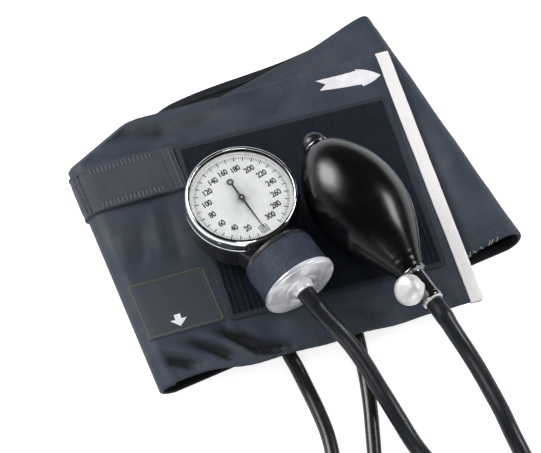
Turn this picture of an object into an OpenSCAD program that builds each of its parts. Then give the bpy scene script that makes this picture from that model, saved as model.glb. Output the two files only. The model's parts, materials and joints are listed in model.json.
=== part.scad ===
// Aneroid sphygmomanometer, put away: a cuff rolled flat in three layers, with the
// dial gauge and the inflation bulb lying on it and both air lines coming off the
// near side. +X runs along the cuff's top layer, +Y across it, +Z up, and the
// origin is the middle of the footprint on the table.

/* [Cuff] */
// Width of the cuff cloth, near edge to far edge
cuff_w = 144; // [100:1:180]
// Height of the flat roll
cuff_h = 16.2; // [13:0.1:20]
// From the middle of the roll to the free end of the top layer
cuff_end_x = 80.9; // [60:0.1:110]
// From the middle of the roll to the left fold
cuff_fold_x = 82; // [60:1:110]
// Thickness of one layer of cover cloth
cloth_t = 0.6; // [0.3:0.05:0.8]
// Thickness of the air bladder
bladder_t = 2.0; // [1:0.1:2.4]
// Width of the air bladder
bladder_w = 120; // [80:1:130]

/* [Cuff trim] */
// Length of the hook pad along the cuff
pad_l = 107.4; // [60:0.5:110]
// Width of the hook pad across the cuff
pad_w = 99.4; // [60:1:108]
// Thickness of the hook pad
pad_t = 0.8; // [0.4:0.1:2]
// Width of the white binding at the free end
binding_w = 6; // [3:0.5:8]
// Width of the gauge strap webbing
strap_w = 24.5; // [15:0.5:30]
// Thickness of the gauge strap webbing
strap_t = 1.3; // [0.8:0.1:2]
// Length of the woven label
label_l = 42; // [25:1:44]
// Width of the woven label
label_w = 32; // [20:1:40]

/* [Gauge] */
// Outer diameter of the bezel
bezel_d = 54.3; // [50:0.1:66]
// Height of the bezel
bezel_h = 8; // [7:0.1:10]
// Width of the bezel's top lip
bezel_lip = 2.3; // [1.8:0.1:3]
// Height of the gauge case below the bezel
case_h = 18.6; // [18:0.5:26]
// Wall of the gauge case
case_wall = 1.5; // [1:0.1:1.8]
// Diameter of the bellows drum
drum_d = 35.5; // [30:0.1:42]
// Length of the bellows drum
drum_l = 15.9; // [14:0.1:20]
// Wall of the bellows drum
drum_wall = 1.25; // [0.8:0.05:2]
// Diameter of the end cap on the drum
cap_d = 37; // [34:0.1:44]
// Thickness of the end cap
cap_t = 3; // [2:0.1:4]
// Height of the spring clip under the case
clip_h = 5; // [4:0.1:8]
// Thickness of the spring clip's steel
clip_t = 1; // [0.6:0.05:1.4]

/* [Movement] */
// Module of the pinion and the sector teeth
gear_m = 0.3; // [0.25:0.01:0.34]
// Teeth on the pinion
pinion_teeth = 10; // [10:1:12]
// Teeth that a full circle of the sector would have
sector_teeth = 100; // [96:1:110]
// Swing of the sector from nought to full scale
sector_swing = 33.75; // [30:0.25:36]
// Lever arm from the sector's arbor to the push rod
rod_arm = 4; // [3.5:0.1:4.5]
// Radius of the push rod
rod_r = 1; // [0.7:0.05:1.2]
// Tooth thinning that gives the mesh its backlash
backlash = 0.03; // [0.02:0.01:0.06]

/* [Bulb] */
// Largest diameter of the inflation bulb
bulb_d = 44.6; // [36:0.1:56]
// Length of the rubber bulb
bulb_l = 78.5; // [65:0.5:100]
// Wall of the rubber bulb
bulb_wall = 2.6; // [1.5:0.1:4]
// Diameter of the inlet valve's rounded head
inlet_d = 12; // [10:0.1:15]

/* [Release valve] */
// Length of the valve body outside the bulb
valve_l = 18.4; // [16:0.5:24]
// Diameter of the valve body
valve_d = 10.5; // [9:0.1:13]
// Diameter of the thumb screw's head
thumb_d = 14.6; // [10:0.1:16]
// Height of the thumb screw's domed head
thumb_h = 8; // [5:0.1:10]
// Radius of the thumb screw's stem
stem_r = 2; // [1.6:0.05:2.4]
// Flats in the thumb screw's knurl
knurls = 30; // [16:2:40]

/* [Air lines] */
// Outer diameter of the gauge's and the bulb's hose
hose_d = 8; // [7:0.1:9]
// Outer diameter of the bladder's tubes
tube_d = 6.9; // [6:0.1:8]
// Diameter of the air way in nipples and connectors
airway_d = 2.6; // [1.6:0.1:3]

/* [Hidden] */
$fn = 64;

fit = 0.05;          // running clearance, radial
seat = 0.1;          // clearance between stacked soft layers
shift = [-12.22, -1.11, 0];   // from the middle of the roll to the middle of the footprint

slate = "#3f4a63";
navy = "#1b2030";
rubber = "#15151a";

// The roll. Its outer face is one surface of two parameters: t counts the stretches
// (0 to 1 top layer, 1 to 2 left fold, 2 to 3 bottom layer, 3 to 4 right fold,
// 4 to 5 inner layer) and v runs across the cloth.
half_w = cuff_w / 2;
roll_y = -3;
fold_r = cuff_h / 2;
left_slant = 0.054;
corner_v = half_w - 16;
corner_slope = 2;
right_far = [77.5, 94.5];
right_near = [102.4, -48.5];
right_r_far = 5.3;
right_r_near = 8.2;
tail_far = [-52, 62];
tail_near = [-62, -64];
inner_z = 5.3;
seam_t = 2 * cloth_t;
full_t = 2 * cloth_t + bladder_t + 2 * seat;
bladder_from = 0.2;
bladder_to = 2.34;
end_slant = 1.3;
end_drop = 1.9;
low_shift = 3.6;
low_bulge = 4.5;
edge_wave = 2;
wave_from = -14;
wave_l = 34.3;

function mix(a, b, s) = a + (b - a) * s;
function clamp(x) = min(1, max(0, x));
function smooth(x) = let (c = clamp(x)) c * c * (3 - 2 * c);
function unit(p) = p / norm(p);

function across(v) = (v + half_w) / cuff_w;
function fold_x(v) = -cuff_fold_x - left_slant * v + corner_slope * max(0, v - corner_v);
function left_axis(v) = [fold_x(v) + fold_r, roll_y + v];
function left_low(v) = left_axis(v) + [0, low_shift];
function end_point(v) = [cuff_end_x + end_slant * v / half_w, roll_y + v - end_drop];
function right_axis(v) = mix(right_near, right_far, across(v));
function right_r(v) = mix(right_r_near, right_r_far, across(v));
function tail(v) = mix(tail_near, tail_far, across(v));
function top_z(x, v) = cuff_h - edge_wave * smooth((10 - half_w - v) / 10)
    * (0.5 - 0.5 * cos(360 * (x - wave_from) / wave_l))
    * smooth((end_point(v)[0] - 8 - x) / 20);

function top_point(s, v) = let (p = mix(end_point(v), left_axis(v), s), z = top_z(p[0], v))
    [p[0], p[1], z + (cuff_h - z) * smooth((s - 0.8) / 0.2)];
function left_point(s, v) = let (a = left_axis(v))
    [a[0] - fold_r * sin(180 * s), mix(a[1], left_low(v)[1], smooth(s)),
        fold_r + fold_r * cos(180 * s)];
function bottom_point(s, v) = let (p = mix(left_low(v), right_axis(v), s),
    bulge = low_bulge * smooth(s / 0.1) * smooth((0.72 - s) / 0.5) * pow(across(v), 3))
    [p[0], p[1] + bulge, 0];
function right_point(s, v) = let (b = right_axis(v), e = unit(b - left_low(v)), r = right_r(v))
    [b[0] + r * sin(180 * s) * e[0], b[1] + r * sin(180 * s) * e[1], r - r * cos(180 * s)];
function inner_point(s, v) = let (p = mix(right_axis(v), tail(v), s))
    [p[0], p[1], mix(2 * right_r(v), inner_z, smooth(s / 0.24))];
function roll(t, v) =
    t <= 1 ? top_point(t, v) :
    t <= 2 ? left_point(t - 1, v) :
    t <= 3 ? bottom_point(t - 2, v) :
    t <= 4 ? right_point(t - 3, v) : inner_point(t - 4, v);

step_t = 0.01;
step_v = 0.5;
function roll_out(t, v) = let (
    dv = roll(t, v + (v < 0 ? step_v : 0)) - roll(t, v - (v < 0 ? 0 : step_v)),
    dt = roll(min(5, t + step_t), v) - roll(max(0, t - step_t), v)) unit(cross(dv, dt));
function stack_t(t, v) = mix(seam_t, full_t,
    smooth((t - 0.04) / 0.1) * smooth((2.55 - t) / 0.17) * smooth((half_w - 4 - abs(v)) / 6));
// The face h above the outer face, less share times the thickness of the stack.
function layer(t, v, h, share) = roll(t, v) + roll_out(t, v) * (h - share * stack_t(t, v));

// A curved slab of the roll between two faces: outer and inner are [h, share].
module slab(ts, vs, outer, inner) {
    nv = len(vs);
    nt = len(ts);
    points = [for (f = [outer, inner]) for (t = ts) for (v = vs) layer(t, v, f[0], f[1])];
    far = nt * nv;
    faces = concat(
        [for (i = [0 : nt - 2]) for (j = [0 : nv - 2]) let (a = i * nv + j) each [
            [a, a + nv, a + 1], [a + 1, a + nv, a + nv + 1],
            [far + a, far + a + 1, far + a + nv], [far + a + 1, far + a + nv + 1, far + a + nv]]],
        [for (i = [0 : nt - 2]) let (a = i * nv, b = i * nv + nv - 1) each [
            [a, far + a, a + nv], [a + nv, far + a, far + a + nv],
            [b, b + nv, far + b], [b + nv, far + b + nv, far + b]]],
        [for (j = [0 : nv - 2]) let (a = j, b = (nt - 1) * nv + j) each [
            [a, a + 1, far + a], [a + 1, far + a + 1, far + a],
            [b, far + b, b + 1], [b + 1, far + b, far + b + 1]]]);
    polyhedron(points, faces, convexity = 6);
}

function steps(a, b, n) = [for (i = [0 : n - 1]) mix(a, b, i / n)];
top_steps = concat([0], steps(0.04, 1, 18));
fold_steps = steps(1, 2, 8);
whole_steps = concat(top_steps, fold_steps, steps(2, 3, 9), steps(3, 4, 8), steps(4, 5, 8), [5]);
cloth_v = [-half_w, 4 - half_w, 10 - half_w, -bladder_w / 4, 0, bladder_w / 4, corner_v,
    half_w - 10, half_w - 4, half_w];

module placed() translate(shift) children();

module cuff_cover() color(slate) placed() slab(whole_steps, cloth_v, [0, 0], [-cloth_t, 0]);

module cuff_lining() color(navy) placed() slab(whole_steps, cloth_v, [cloth_t, 1], [0, 1]);

module bladder() color("#2a2a30") placed()
    slab([for (t = whole_steps) if (t >= bladder_from && t <= bladder_to) t],
        [-bladder_w / 2, -bladder_w / 4, 0, bladder_w / 4, min(corner_v, bladder_w / 2)],
        [-cloth_t - seat, 0], [cloth_t + seat, 1]);

// Each bladder tube leaves from a stub that is moulded on a patch under the top layer.
port_l = 12;
port_t = 0.6;
port_d = 22;
port_y = -46;
bulb_port_x = -15.4;
gauge_port_x = 19;
under_top = cuff_h - full_t;
tube_in_z = inner_z + tube_d / 2 + 0.15;
module bladder_ports() color(rubber) placed() for (x = [bulb_port_x, gauge_port_x]) {
    translate([x, port_y, under_top - port_t]) cylinder(d = port_d, h = port_t);
    translate([x, port_y, tube_in_z]) rotate([90, 0, 0]) cylinder(d = tube_d, h = port_l);
    translate([x - tube_d / 3, port_y - port_l + 2, tube_in_z])
        cube([2 * tube_d / 3, port_l + port_d / 4, under_top - tube_in_z]);
}

// The hook pad, with its stitched rim standing a little proud.
pad_middle = [18.1, -4];
pad_turn = -2;
pad_x = pad_middle[0] - pad_l / 2;
rim_w = 3;
rim_t = 0.35;
module rounded(l, w, r, h) {
    translate([r, 0, 0]) cube([l - 2 * r, w, h]);
    translate([0, r, 0]) cube([l, w - 2 * r, h]);
    for (x = [r, l - r]) for (y = [r, w - r]) translate([x, y, 0]) cylinder(r = r, h = h);
}
module hook_pad() color(navy) placed() translate([pad_middle[0], pad_middle[1], cuff_h])
    rotate([0, 0, pad_turn]) translate([-pad_l / 2, -pad_w / 2, 0]) difference() {
        rounded(pad_l, pad_w, 3, pad_t);
        translate([rim_w, rim_w, pad_t - rim_t])
            rounded(pad_l - 2 * rim_w, pad_w - 2 * rim_w, 2, rim_t + 1);
    }
pad_top = cuff_h + pad_t - rim_t;

loop_t = 0.5;
module loop_pad() color("#252b3b") placed() slab(steps(4.42, 4.98, 7),
    [-half_w + 14, 0, half_w - 14], [-seam_t, 0], [-seam_t - loop_t, 0]);

// White tape folded over the free end of the top layer.
binding_t = 0.6;
binding_inset = 0.06;
module end_binding() color("white") placed() {
    near = end_point(-half_w);
    far = end_point(half_w);
    translate([near[0], near[1], cuff_h])
        rotate([90, 0, 180 + atan2(near[1] - far[1], near[0] - far[0]) - 90])
            mirror([0, 0, 1]) linear_extrude(norm(far - near)) polygon([
                [-binding_w, binding_inset], [-binding_w, binding_t - 0.2],
                [-binding_w + 0.3, binding_t], [0.1, binding_t], [binding_t, 0.1],
                [binding_t, -seam_t - 0.1], [0.1, -seam_t - binding_t],
                [-binding_w, -seam_t - binding_t], [-binding_w, -seam_t - binding_inset],
                [binding_inset, -seam_t - binding_inset], [binding_inset, binding_inset]]);
}

// Pieces sewn on near the left fold: from a place on the top layer, over the fold.
function top_t(x, v) = (end_point(v)[0] - x) / (end_point(v)[0] - left_axis(v)[0]);
function over_fold(x, l, v) = let (flat = x - left_axis(v)[0]) flat > l ? top_t(x - l, v)
    : 1 + (l - flat) / (PI * fold_r);
function steps_between(a, b) = concat([a], [for (t = whole_steps) if (t > a && t < b) t], [b]);

label_x = pad_x - 3.7;
label_v = -48;
label_t = 0.5;
module woven_label() color("#39404a") placed() slab(steps_between(top_t(label_x, label_v),
    over_fold(label_x, label_l, label_v)), [label_v, label_v + label_w / 2, label_v + label_w],
    [label_t, 0], [0, 0]);

// The strap is sewn down at its right end and stands off the cuff in a low loop,
// then goes round the left fold and under it.
strap_v = 27;
strap_lift = 1.6;
strap_steps = steps_between(top_t(pad_x - 0.6, strap_v), 1.75);
function strap_h(t) = strap_lift * smooth((t - strap_steps[1]) / 0.08) * smooth((1.1 - t) / 0.25);
function strap_face(h) = [for (t = strap_steps) for (v = [strap_v, strap_v + strap_w])
    roll(t, v) + roll_out(t, v) * (strap_h(t) + h)];
module gauge_strap() color("#46506a") placed() {
    n = len(strap_steps);
    points = concat(strap_face(strap_t), strap_face(0));
    far = 2 * n;
    polyhedron(points, concat(
        [for (i = [0 : n - 2]) let (a = 2 * i) each [
            [a, a + 2, a + 1], [a + 1, a + 2, a + 3],
            [far + a, far + a + 1, far + a + 2], [far + a + 1, far + a + 3, far + a + 2],
            [a, far + a, a + 2], [a + 2, far + a, far + a + 2],
            [a + 1, a + 3, far + a + 1], [a + 3, far + a + 3, far + a + 1]]],
        [[0, 1, far], [1, far + 1, far],
            [2 * n - 2, far + 2 * n - 2, 2 * n - 1],
            [2 * n - 1, far + 2 * n - 2, far + 2 * n - 1]]), convexity = 4);
}

// The gauge has a frame of its own: its dial's centre is on the z axis, 12 o'clock is
// along +y and the bellows drum points along -y.
gauge_x = -16;
gauge_turn = 14.8;
module at_gauge(z = 0) placed() translate([gauge_x, gauge_y, z]) rotate([0, 0, gauge_turn])
    children();
module along_drum(d = 0) translate([0, -d, axis_z]) rotate([90, 0, 0]) children();
function along_gauge(d) = [gauge_x + d * sin(gauge_turn), gauge_y - d * cos(gauge_turn), axis_z];

axis_z = cuff_h + pad_t + cap_d / 2;
case_z = pad_top + clip_h;
bezel_z = case_z + case_h;
collar_r = bezel_d / 2 - 1.15;
crystal_t = 1.6;
gasket_t = 0.8;
collar_top = bezel_z + bezel_h - 1 - crystal_t - gasket_t;
case_r = collar_r - 1;
bore_r = collar_r - 1.4;
inside_r = case_r - case_wall;
dial_t = 0.5;
dial_z = collar_top - 1.3;
drum_back = bezel_d / 2 + 5.25;
neck_t = 2.8;
drum_front = drum_back + drum_l;
drum_in = drum_d / 2 - drum_wall;
spigot_l = 2;

module gauge_case() color("#1c1819") at_gauge() difference() {
    union() {
        translate([0, 0, case_z]) rotate_extrude() polygon(concat(
            [[0, 0]], [for (a = [0 : 15 : 90]) [case_r - 3 + 3 * sin(a), 3 - 3 * cos(a)]],
            [[case_r, case_h - 2], [collar_r, case_h], [collar_r, collar_top - case_z],
                [0, collar_top - case_z]]));
        intersection() {
            along_drum(case_r - 3) cylinder(r = 14, h = drum_back - case_r + 3);
            translate([-20, -drum_back - 1, case_z + 1]) cube([40, 40, case_h - 1.1]);
        }
        along_drum(drum_back - neck_t) rotate_extrude() polygon([[0, 0],
            [drum_d / 2 - 1.2, 0], [drum_d / 2 - 0.4, 0.8], [drum_d / 2 - 0.4, neck_t],
            [drum_in - fit, neck_t], [drum_in - fit, neck_t + spigot_l],
            [0, neck_t + spigot_l]]);
    }
    translate([0, 0, case_z + case_wall]) cylinder(r = inside_r, h = case_h + 10);
    translate([0, 0, dial_z - dial_t]) cylinder(r = bore_r, h = 10);
    along_drum(drum_back - 0.4) cylinder(r = drum_in - 2.5, h = 5);
    along_drum(0) cylinder(r = rod_r + 0.06, h = 60);
    for (x = [-9, 9]) translate([x, clip_root - 3, case_z - 1]) cylinder(r = 1.2, h = 5);
}

module bellows_drum() color("#4a5a78") at_gauge() along_drum(drum_back) difference() {
    rotate_extrude() polygon(concat([[0, 0], [drum_d / 2 - 0.6, 0], [drum_d / 2, 0.6]],
        [[drum_d / 2, drum_l], [0, drum_l]]));
    translate([0, 0, -1]) cylinder(r = drum_in, h = drum_l + 2);
}

// The end cap closes the drum and carries the barbed nipple. It lies on the near rim of
// the hook pad, and the rest of the gauge takes its place from there.
cap_front = drum_front + cap_t;
cap_past_pad = 1.3;
gauge_y = pad_middle[1] - pad_w / 2 - cap_past_pad + cap_front * cos(gauge_turn);
boss_r = 5.6;
boss_l = 3.2;
barb_l = 11;
barb_r = hose_d / 2 - 1.1;
module barbs(l, r) rotate_extrude() polygon(concat([[airway_d / 2, -0.4], [r - 0.7, -0.4]],
    [for (i = [0 : 2]) each [[r - 0.6, i * l / 3 + 0.8], [r, i * l / 3 + 1], [r - 0.7,
        (i + 1) * l / 3]]], [[airway_d / 2, l]]));
module drum_end_cap() color("#c9ccd2") at_gauge() {
    along_drum(drum_front) difference() {
        rotate_extrude() polygon(concat(
            [[0, -spigot_l], [drum_in - fit, -spigot_l], [drum_in - fit, 0],
                [cap_d / 2 - 0.8, 0], [cap_d / 2, 0.8]],
            [for (a = [0 : 15 : 90]) [cap_d / 2 - 1.6 + 1.6 * cos(a),
                cap_t - 1.6 + 1.6 * sin(a)]],
            [[boss_r + 2.2, cap_t], [boss_r + 1.6, cap_t - 0.7], [boss_r, cap_t - 0.7],
                [boss_r, cap_t + boss_l - 0.8], [boss_r - 0.8, cap_t + boss_l],
                [0, cap_t + boss_l]]));
        translate([0, 0, -5]) cylinder(d = airway_d, h = 20);
    }
    along_drum(cap_front + boss_l) barbs(barb_l, barb_r);
}

// Two corrugated capsules on one axis, fixed to the end cap; the free end lifts the rod.
capsule_r = drum_in - 1.5;
capsule_t = 4;
capsule_front = drum_front - spigot_l - 1;
capsule_back = capsule_front - 2 * capsule_t - 0.8;
function plate_wave(r, s) = s * (1.2 + 0.3 * cos(360 * (r - 4) / 3.2));
function shell(z, t, s) = [for (r = [4 : 0.8 : capsule_r - 1.2])
    [r, z + plate_wave(r, s) + t]];
module capsule_shell(z) rotate_extrude() polygon(concat(
    [[0, z - 2], [4, z - 2]], shell(z, 0, -1), [[capsule_r, z - 0.3], [capsule_r, z + 0.3]],
    [for (r = [capsule_r - 1.2 : -0.8 : 4]) [r, z + plate_wave(r, 1)]], [[4, z + 2], [0, z + 2]]));
module bellows_capsule() color("#b89a52") at_gauge() along_drum(0) difference() {
    union() {
        for (i = [0, 1]) translate([0, 0, capsule_back + 2 + 4.8 * i]) capsule_shell(0);
        translate([0, 0, capsule_back + 3.9]) cylinder(r = 2.4, h = 1.1);
        translate([0, 0, capsule_front - 0.1]) cylinder(r = 3, h = 1.1);
    }
    translate([0, 0, capsule_back + 3]) cylinder(d = airway_d, h = 20);
}

// Movement: the rod pushes the sector's arm, and the sector turns the pinion.
pinion_r = gear_m * pinion_teeth / 2;
sector_r = gear_m * sector_teeth / 2;
centres = pinion_r + sector_r;
pivot = [-rod_arm, -sqrt(centres * centres - rod_arm * rod_arm)];
mesh_angle = atan2(-pivot[1], -pivot[0]);
arm_half = 0.6;
tip_r = 0.6;
gear_t = 1.2;
arm_start = -sector_swing / 2;
rod_tip = -pivot[1] - (rod_arm * tan(arm_start) - (arm_half + tip_r) / cos(arm_start)) + fit;
plate_t = 1.2;
lower_z = axis_z - 8.5;
upper_z = axis_z + 3.5;
pillars = [[8.5, -16.5], [-11.5, -14], [8.5, 13], [-11.5, 13]];
pivot_r = 0.45;
arbor_r = 0.75;
pillar_r = 1.6;

module push_rod() color("#b9bcc2") at_gauge() {
    along_drum(rod_tip) cylinder(r = tip_r, h = 1.2);
    along_drum(rod_tip) sphere(r = tip_r);
    along_drum(rod_tip + 1.2) cylinder(r = rod_r, h = capsule_back - rod_tip - 1.2);
}

module plate_outline() intersection() {
    circle(r = inside_r - 1.2);
    translate([-13.5, -30]) square([24.5, 60]);
}
module movement_lower_plate() color("#c2a35a") at_gauge(lower_z) {
    difference() {
        linear_extrude(plate_t) plate_outline();
        for (p = [[0, 0], pivot]) translate([p[0], p[1], -1]) cylinder(r = pivot_r + fit, h = 5);
    }
    for (p = pillars) translate([p[0], p[1], case_z + case_wall - lower_z])
        cylinder(r = 2.2, h = lower_z - case_z - case_wall);
}
module movement_upper_plate() color("#c2a35a") at_gauge(upper_z) difference() {
    linear_extrude(plate_t) plate_outline();
    translate([0, 0, -1]) cylinder(r = arbor_r + fit, h = 5);
    translate([pivot[0], pivot[1], -1]) cylinder(r = pivot_r + fit, h = 5);
    for (p = pillars) translate([p[0], p[1], -1]) cylinder(r = 0.85, h = 5);
}
module movement_pillars() color("#c2a35a") at_gauge(lower_z + plate_t) for (p = pillars)
    translate([p[0], p[1], 0]) cylinder(r = pillar_r, h = upper_z - lower_z - plate_t);
module movement_screws() color("#8f9299") at_gauge(upper_z + plate_t) for (p = pillars)
    translate([p[0], p[1], 0]) difference() {
        union() {
            cylinder(r = 1.5, h = 0.9);
            translate([0, 0, -plate_t]) cylinder(r = 0.8, h = plate_t);
        }
        translate([-2, -0.2, 0.5]) cube([4, 0.4, 1]);
    }

// Involute flank at radius r, as an angle from the tooth's middle.
pressure = 20;
function inv(a) = (tan(a) - a * PI / 180) * 180 / PI;
function flank(r, pitch_r, teeth) = let (base = pitch_r * cos(pressure), q = max(r, base))
    90 / teeth - backlash / pitch_r * 180 / PI + inv(pressure) - inv(acos(base / q));
function tooth(k, teeth, pitch_r, radii) = let (mid = 360 * k / teeth) concat(
    [for (i = [0 : len(radii) - 1]) let (a = mid - flank(radii[i], pitch_r, teeth))
        radii[i] * [cos(a), sin(a)]],
    [for (i = [len(radii) - 1 : -1 : 0]) let (a = mid + flank(radii[i], pitch_r, teeth))
        radii[i] * [cos(a), sin(a)]]);
pinion_radii = [for (k = [-1.25, -0.9, -0.4, 0, 0.5, 1]) pinion_r + k * gear_m];
sector_radii = [for (k = [-1.3, -0.7, 0, 0.55]) sector_r + k * gear_m];

teeth_after = ceil((sector_swing + 7) / (360 / sector_teeth));
teeth_before = 3;
sector_hub = 2.4;
module sector_gear() color("#c8ab62") at_gauge() translate([pivot[0], pivot[1], 0]) {
    translate([0, 0, axis_z - gear_t / 2]) rotate([0, 0, mesh_angle]) difference() {
        linear_extrude(gear_t) polygon(concat([[0, 0]],
            [for (k = [-teeth_after : teeth_before]) each
                tooth(k, sector_teeth, sector_r, sector_radii)]));
        translate([0, 0, -1]) rotate([0, 0, -sector_swing / 2]) linear_extrude(5)
            intersection() {
                difference() {
                    circle(r = sector_r - 2.2);
                    circle(r = sector_hub + 1.6);
                }
                polygon([[0, 0], 30 * [cos(-17), sin(-17)], 30 * [cos(13), sin(13)]]);
            }
    }
    translate([0, 0, axis_z - gear_t / 2]) {
        cylinder(r = sector_hub, h = gear_t);
        rotate([0, 0, arm_start]) translate([0, -arm_half, 0])
            cube([rod_arm + 1.2, 2 * arm_half, gear_t]);
    }
    translate([0, 0, lower_z + plate_t + 0.1]) cylinder(r = arbor_r, h = upper_z - lower_z
        - plate_t - 0.2);
    translate([0, 0, lower_z]) cylinder(r = pivot_r, h = upper_z + plate_t - lower_z);
}

pinion_t = 2.2;
pointer_z = dial_z + 0.7;
pointer_t = 0.35;
module pinion_arbor() color("#b9bcc2") at_gauge() {
    translate([0, 0, axis_z - pinion_t / 2]) rotate([0, 0, mesh_angle + 180 + 180 / pinion_teeth])
        linear_extrude(pinion_t) polygon([for (k = [0 : pinion_teeth - 1]) each
            tooth(k, pinion_teeth, pinion_r, pinion_radii)]);
    translate([0, 0, lower_z]) cylinder(r = pivot_r, h = 4);
    translate([0, 0, lower_z + plate_t + 0.1]) cylinder(r = arbor_r, h = pointer_z - lower_z
        - plate_t - 0.1);
    translate([0, 0, pointer_z - 1]) cylinder(r = 0.5, h = 1.6);
}

spring_z = lower_z + 3.4;
spring_h = 0.5;
spring_t = 0.14;
spring_turns = 5;
collet_r = 1.5;
spring_pitch = 0.85;
function spiral(a, off) = (collet_r - 0.05 + spring_pitch * a / 360 + off) * [cos(a), sin(a)];
spring_end = 360 * spring_turns;
module hairspring() color("#3a4c86") at_gauge(spring_z) {
    linear_extrude(spring_h) polygon(concat(
        [for (a = [0 : 20 : spring_end]) spiral(a, -spring_t / 2)],
        [for (a = [spring_end : -20 : 0]) spiral(a, spring_t / 2)]));
    difference() {
        translate([0, 0, -0.3]) cylinder(r = collet_r, h = spring_h + 0.6);
        translate([0, 0, -1]) cylinder(r = arbor_r, h = 3);
    }
}
module hairspring_stud() color("#c2a35a") at_gauge(lower_z + plate_t) {
    p = spiral(spring_end, 0.8);
    translate([p[0], p[1], 0]) cylinder(r = 0.7, h = spring_z + spring_h - lower_z - plate_t + 0.4);
}

// Dial, its ring, the pointer and the glass.
module dial() color("#f4f4f0") at_gauge(dial_z - dial_t) difference() {
    cylinder(r = bore_r - 0.1, h = dial_t);
    translate([0, 0, -1]) cylinder(r = arbor_r + 0.35, h = 3);
}
module dial_ring() color("#e2e2de") at_gauge(dial_z) difference() {
    cylinder(r = bore_r - 0.1, h = collar_top - dial_z);
    translate([0, 0, -1]) cylinder(r1 = bore_r - 1.1, r2 = bore_r - 0.5, h = 4);
}
needle_l = 18.7;
tail_l = 9.8;
module pointer() color("#141414") at_gauge(pointer_z) difference() {
    union() {
        linear_extrude(pointer_t) {
            polygon([[-0.55, 0], [0.55, 0], [0.16, -needle_l], [0, -needle_l - 0.6],
                [-0.16, -needle_l]]);
            polygon([[-0.5, 0], [0.5, 0], [0.35, tail_l - 1.4], [-0.35, tail_l - 1.4]]);
            translate([0, tail_l]) difference() {
                circle(r = 1.6);
                circle(r = 0.95);
            }
        }
        cylinder(r = 1.5, h = pointer_t + 0.35);
    }
    translate([0, 0, -1]) cylinder(r = 0.5, h = 4);
}
module crystal_gasket() color("#202024") at_gauge(collar_top) difference() {
    cylinder(r = collar_r, h = gasket_t);
    translate([0, 0, -1]) cylinder(r = bore_r - 0.2, h = 4);
}
module crystal() color("#dfe8ee", 0.35) at_gauge(collar_top + gasket_t) rotate_extrude()
    polygon([[0, 0], [collar_r - 0.2, 0], [collar_r - 0.05, 0.15],
        [collar_r - 0.05, crystal_t - 0.15], [collar_r - 0.2, crystal_t], [0, crystal_t]]);
module bezel() color("#d4d7dc") at_gauge(bezel_z) rotate_extrude() polygon(concat(
    [[collar_r + 0.03, 0], [bezel_d / 2 - 0.5, 0], [bezel_d / 2, 0.5]],
    [for (a = [0 : 18 : 90]) [bezel_d / 2 - 1.8 + 1.8 * cos(a), bezel_h - 1.8 + 1.8 * sin(a)]],
    [[bezel_d / 2 - bezel_lip, bezel_h - 0.35], [bezel_d / 2 - bezel_lip, bezel_h - 1],
        [collar_r + 0.03, bezel_h - 1]]));

// Spring clip: riveted under the case at the 12 o'clock side, bent down and back.
clip_w = 22;
clip_root = 18;
clip_tip = -16;
clip_lip = 3.2;
clip_bend = clip_h / 2;
module clip_profile() union() {
    translate([clip_root - 6, clip_h - clip_t]) square([6, clip_t]);
    translate([clip_root, clip_bend]) intersection() {
        difference() {
            circle(r = clip_bend);
            circle(r = clip_bend - clip_t);
        }
        translate([0, -10]) square([10, 20]);
    }
    translate([clip_tip, 0]) square([clip_root - clip_tip, clip_t]);
    polygon([[clip_tip, 0], [clip_tip + 0.5, clip_t], [clip_tip - 0.3, clip_t],
        [clip_tip - clip_lip, clip_t + 1.4], [clip_tip - clip_lip - 0.4, 1.4 + clip_t / 3],
        [clip_tip - 0.5, 0]]);
}
module gauge_clip() color("#b7bac0") at_gauge(pad_top) difference() {
    translate([-clip_w / 2, 0, 0]) rotate([90, 0, 90]) linear_extrude(clip_w) clip_profile();
    for (x = [-9, 9]) translate([x, clip_root - 3, clip_h - clip_t - 1]) cylinder(r = 1.2, h = 4);
}
module clip_rivets() color("#9a9da4") at_gauge() for (x = [-9, 9])
    translate([x, clip_root - 3, case_z - clip_t - 0.7]) {
        cylinder(r1 = 1.4, r2 = 2, h = 0.7);
        cylinder(r = 1.2, h = clip_t + 0.7 + case_wall);
    }

// The bulb has a frame of its own: its axis is the z axis, from the inlet end to the
// neck. It lies on its belly on the hook pad.
bulb_tuck = 6.35;    // how far its round end tucks in beside the bezel
bulb_x = gauge_x + (bezel_d + bulb_d) / 2 - bulb_tuck;
bulb_y = 11.3;
bulb_heading = -74.6;
bulb_dip = 2.6;
bulb_way = [cos(bulb_dip) * cos(bulb_heading), cos(bulb_dip) * sin(bulb_heading), -sin(bulb_dip)];
belly = 0.44 * bulb_l;
neck_r = 6.6;
mouth_r = 6.4;
bulb_z = pad_top + (bulb_d / 2) / cos(bulb_dip) + belly * sin(bulb_dip) + 0.05;
module at_bulb() placed() translate([bulb_x, bulb_y, bulb_z])
    rotate([0, 90 + bulb_dip, bulb_heading]) children();
function bulb_point(d) = [bulb_x, bulb_y, bulb_z] + d * bulb_way;
function bulb_r(z) = z < belly
    ? mouth_r + (bulb_d / 2 - mouth_r) * pow(sin(90 * pow(z / belly, 0.8)), 0.86)
    : neck_r + (bulb_d / 2 - neck_r)
        * pow(cos(90 * pow((z - belly) / (bulb_l - belly), 1.15)), 1.2);
bulb_rings = 18;
function bulb_outline(off) = [for (i = [0 : bulb_rings]) let (z = bulb_l * i / bulb_rings)
    [max(0.5, bulb_r(z) - off), z]];
plug_r = 3.6;
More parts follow.
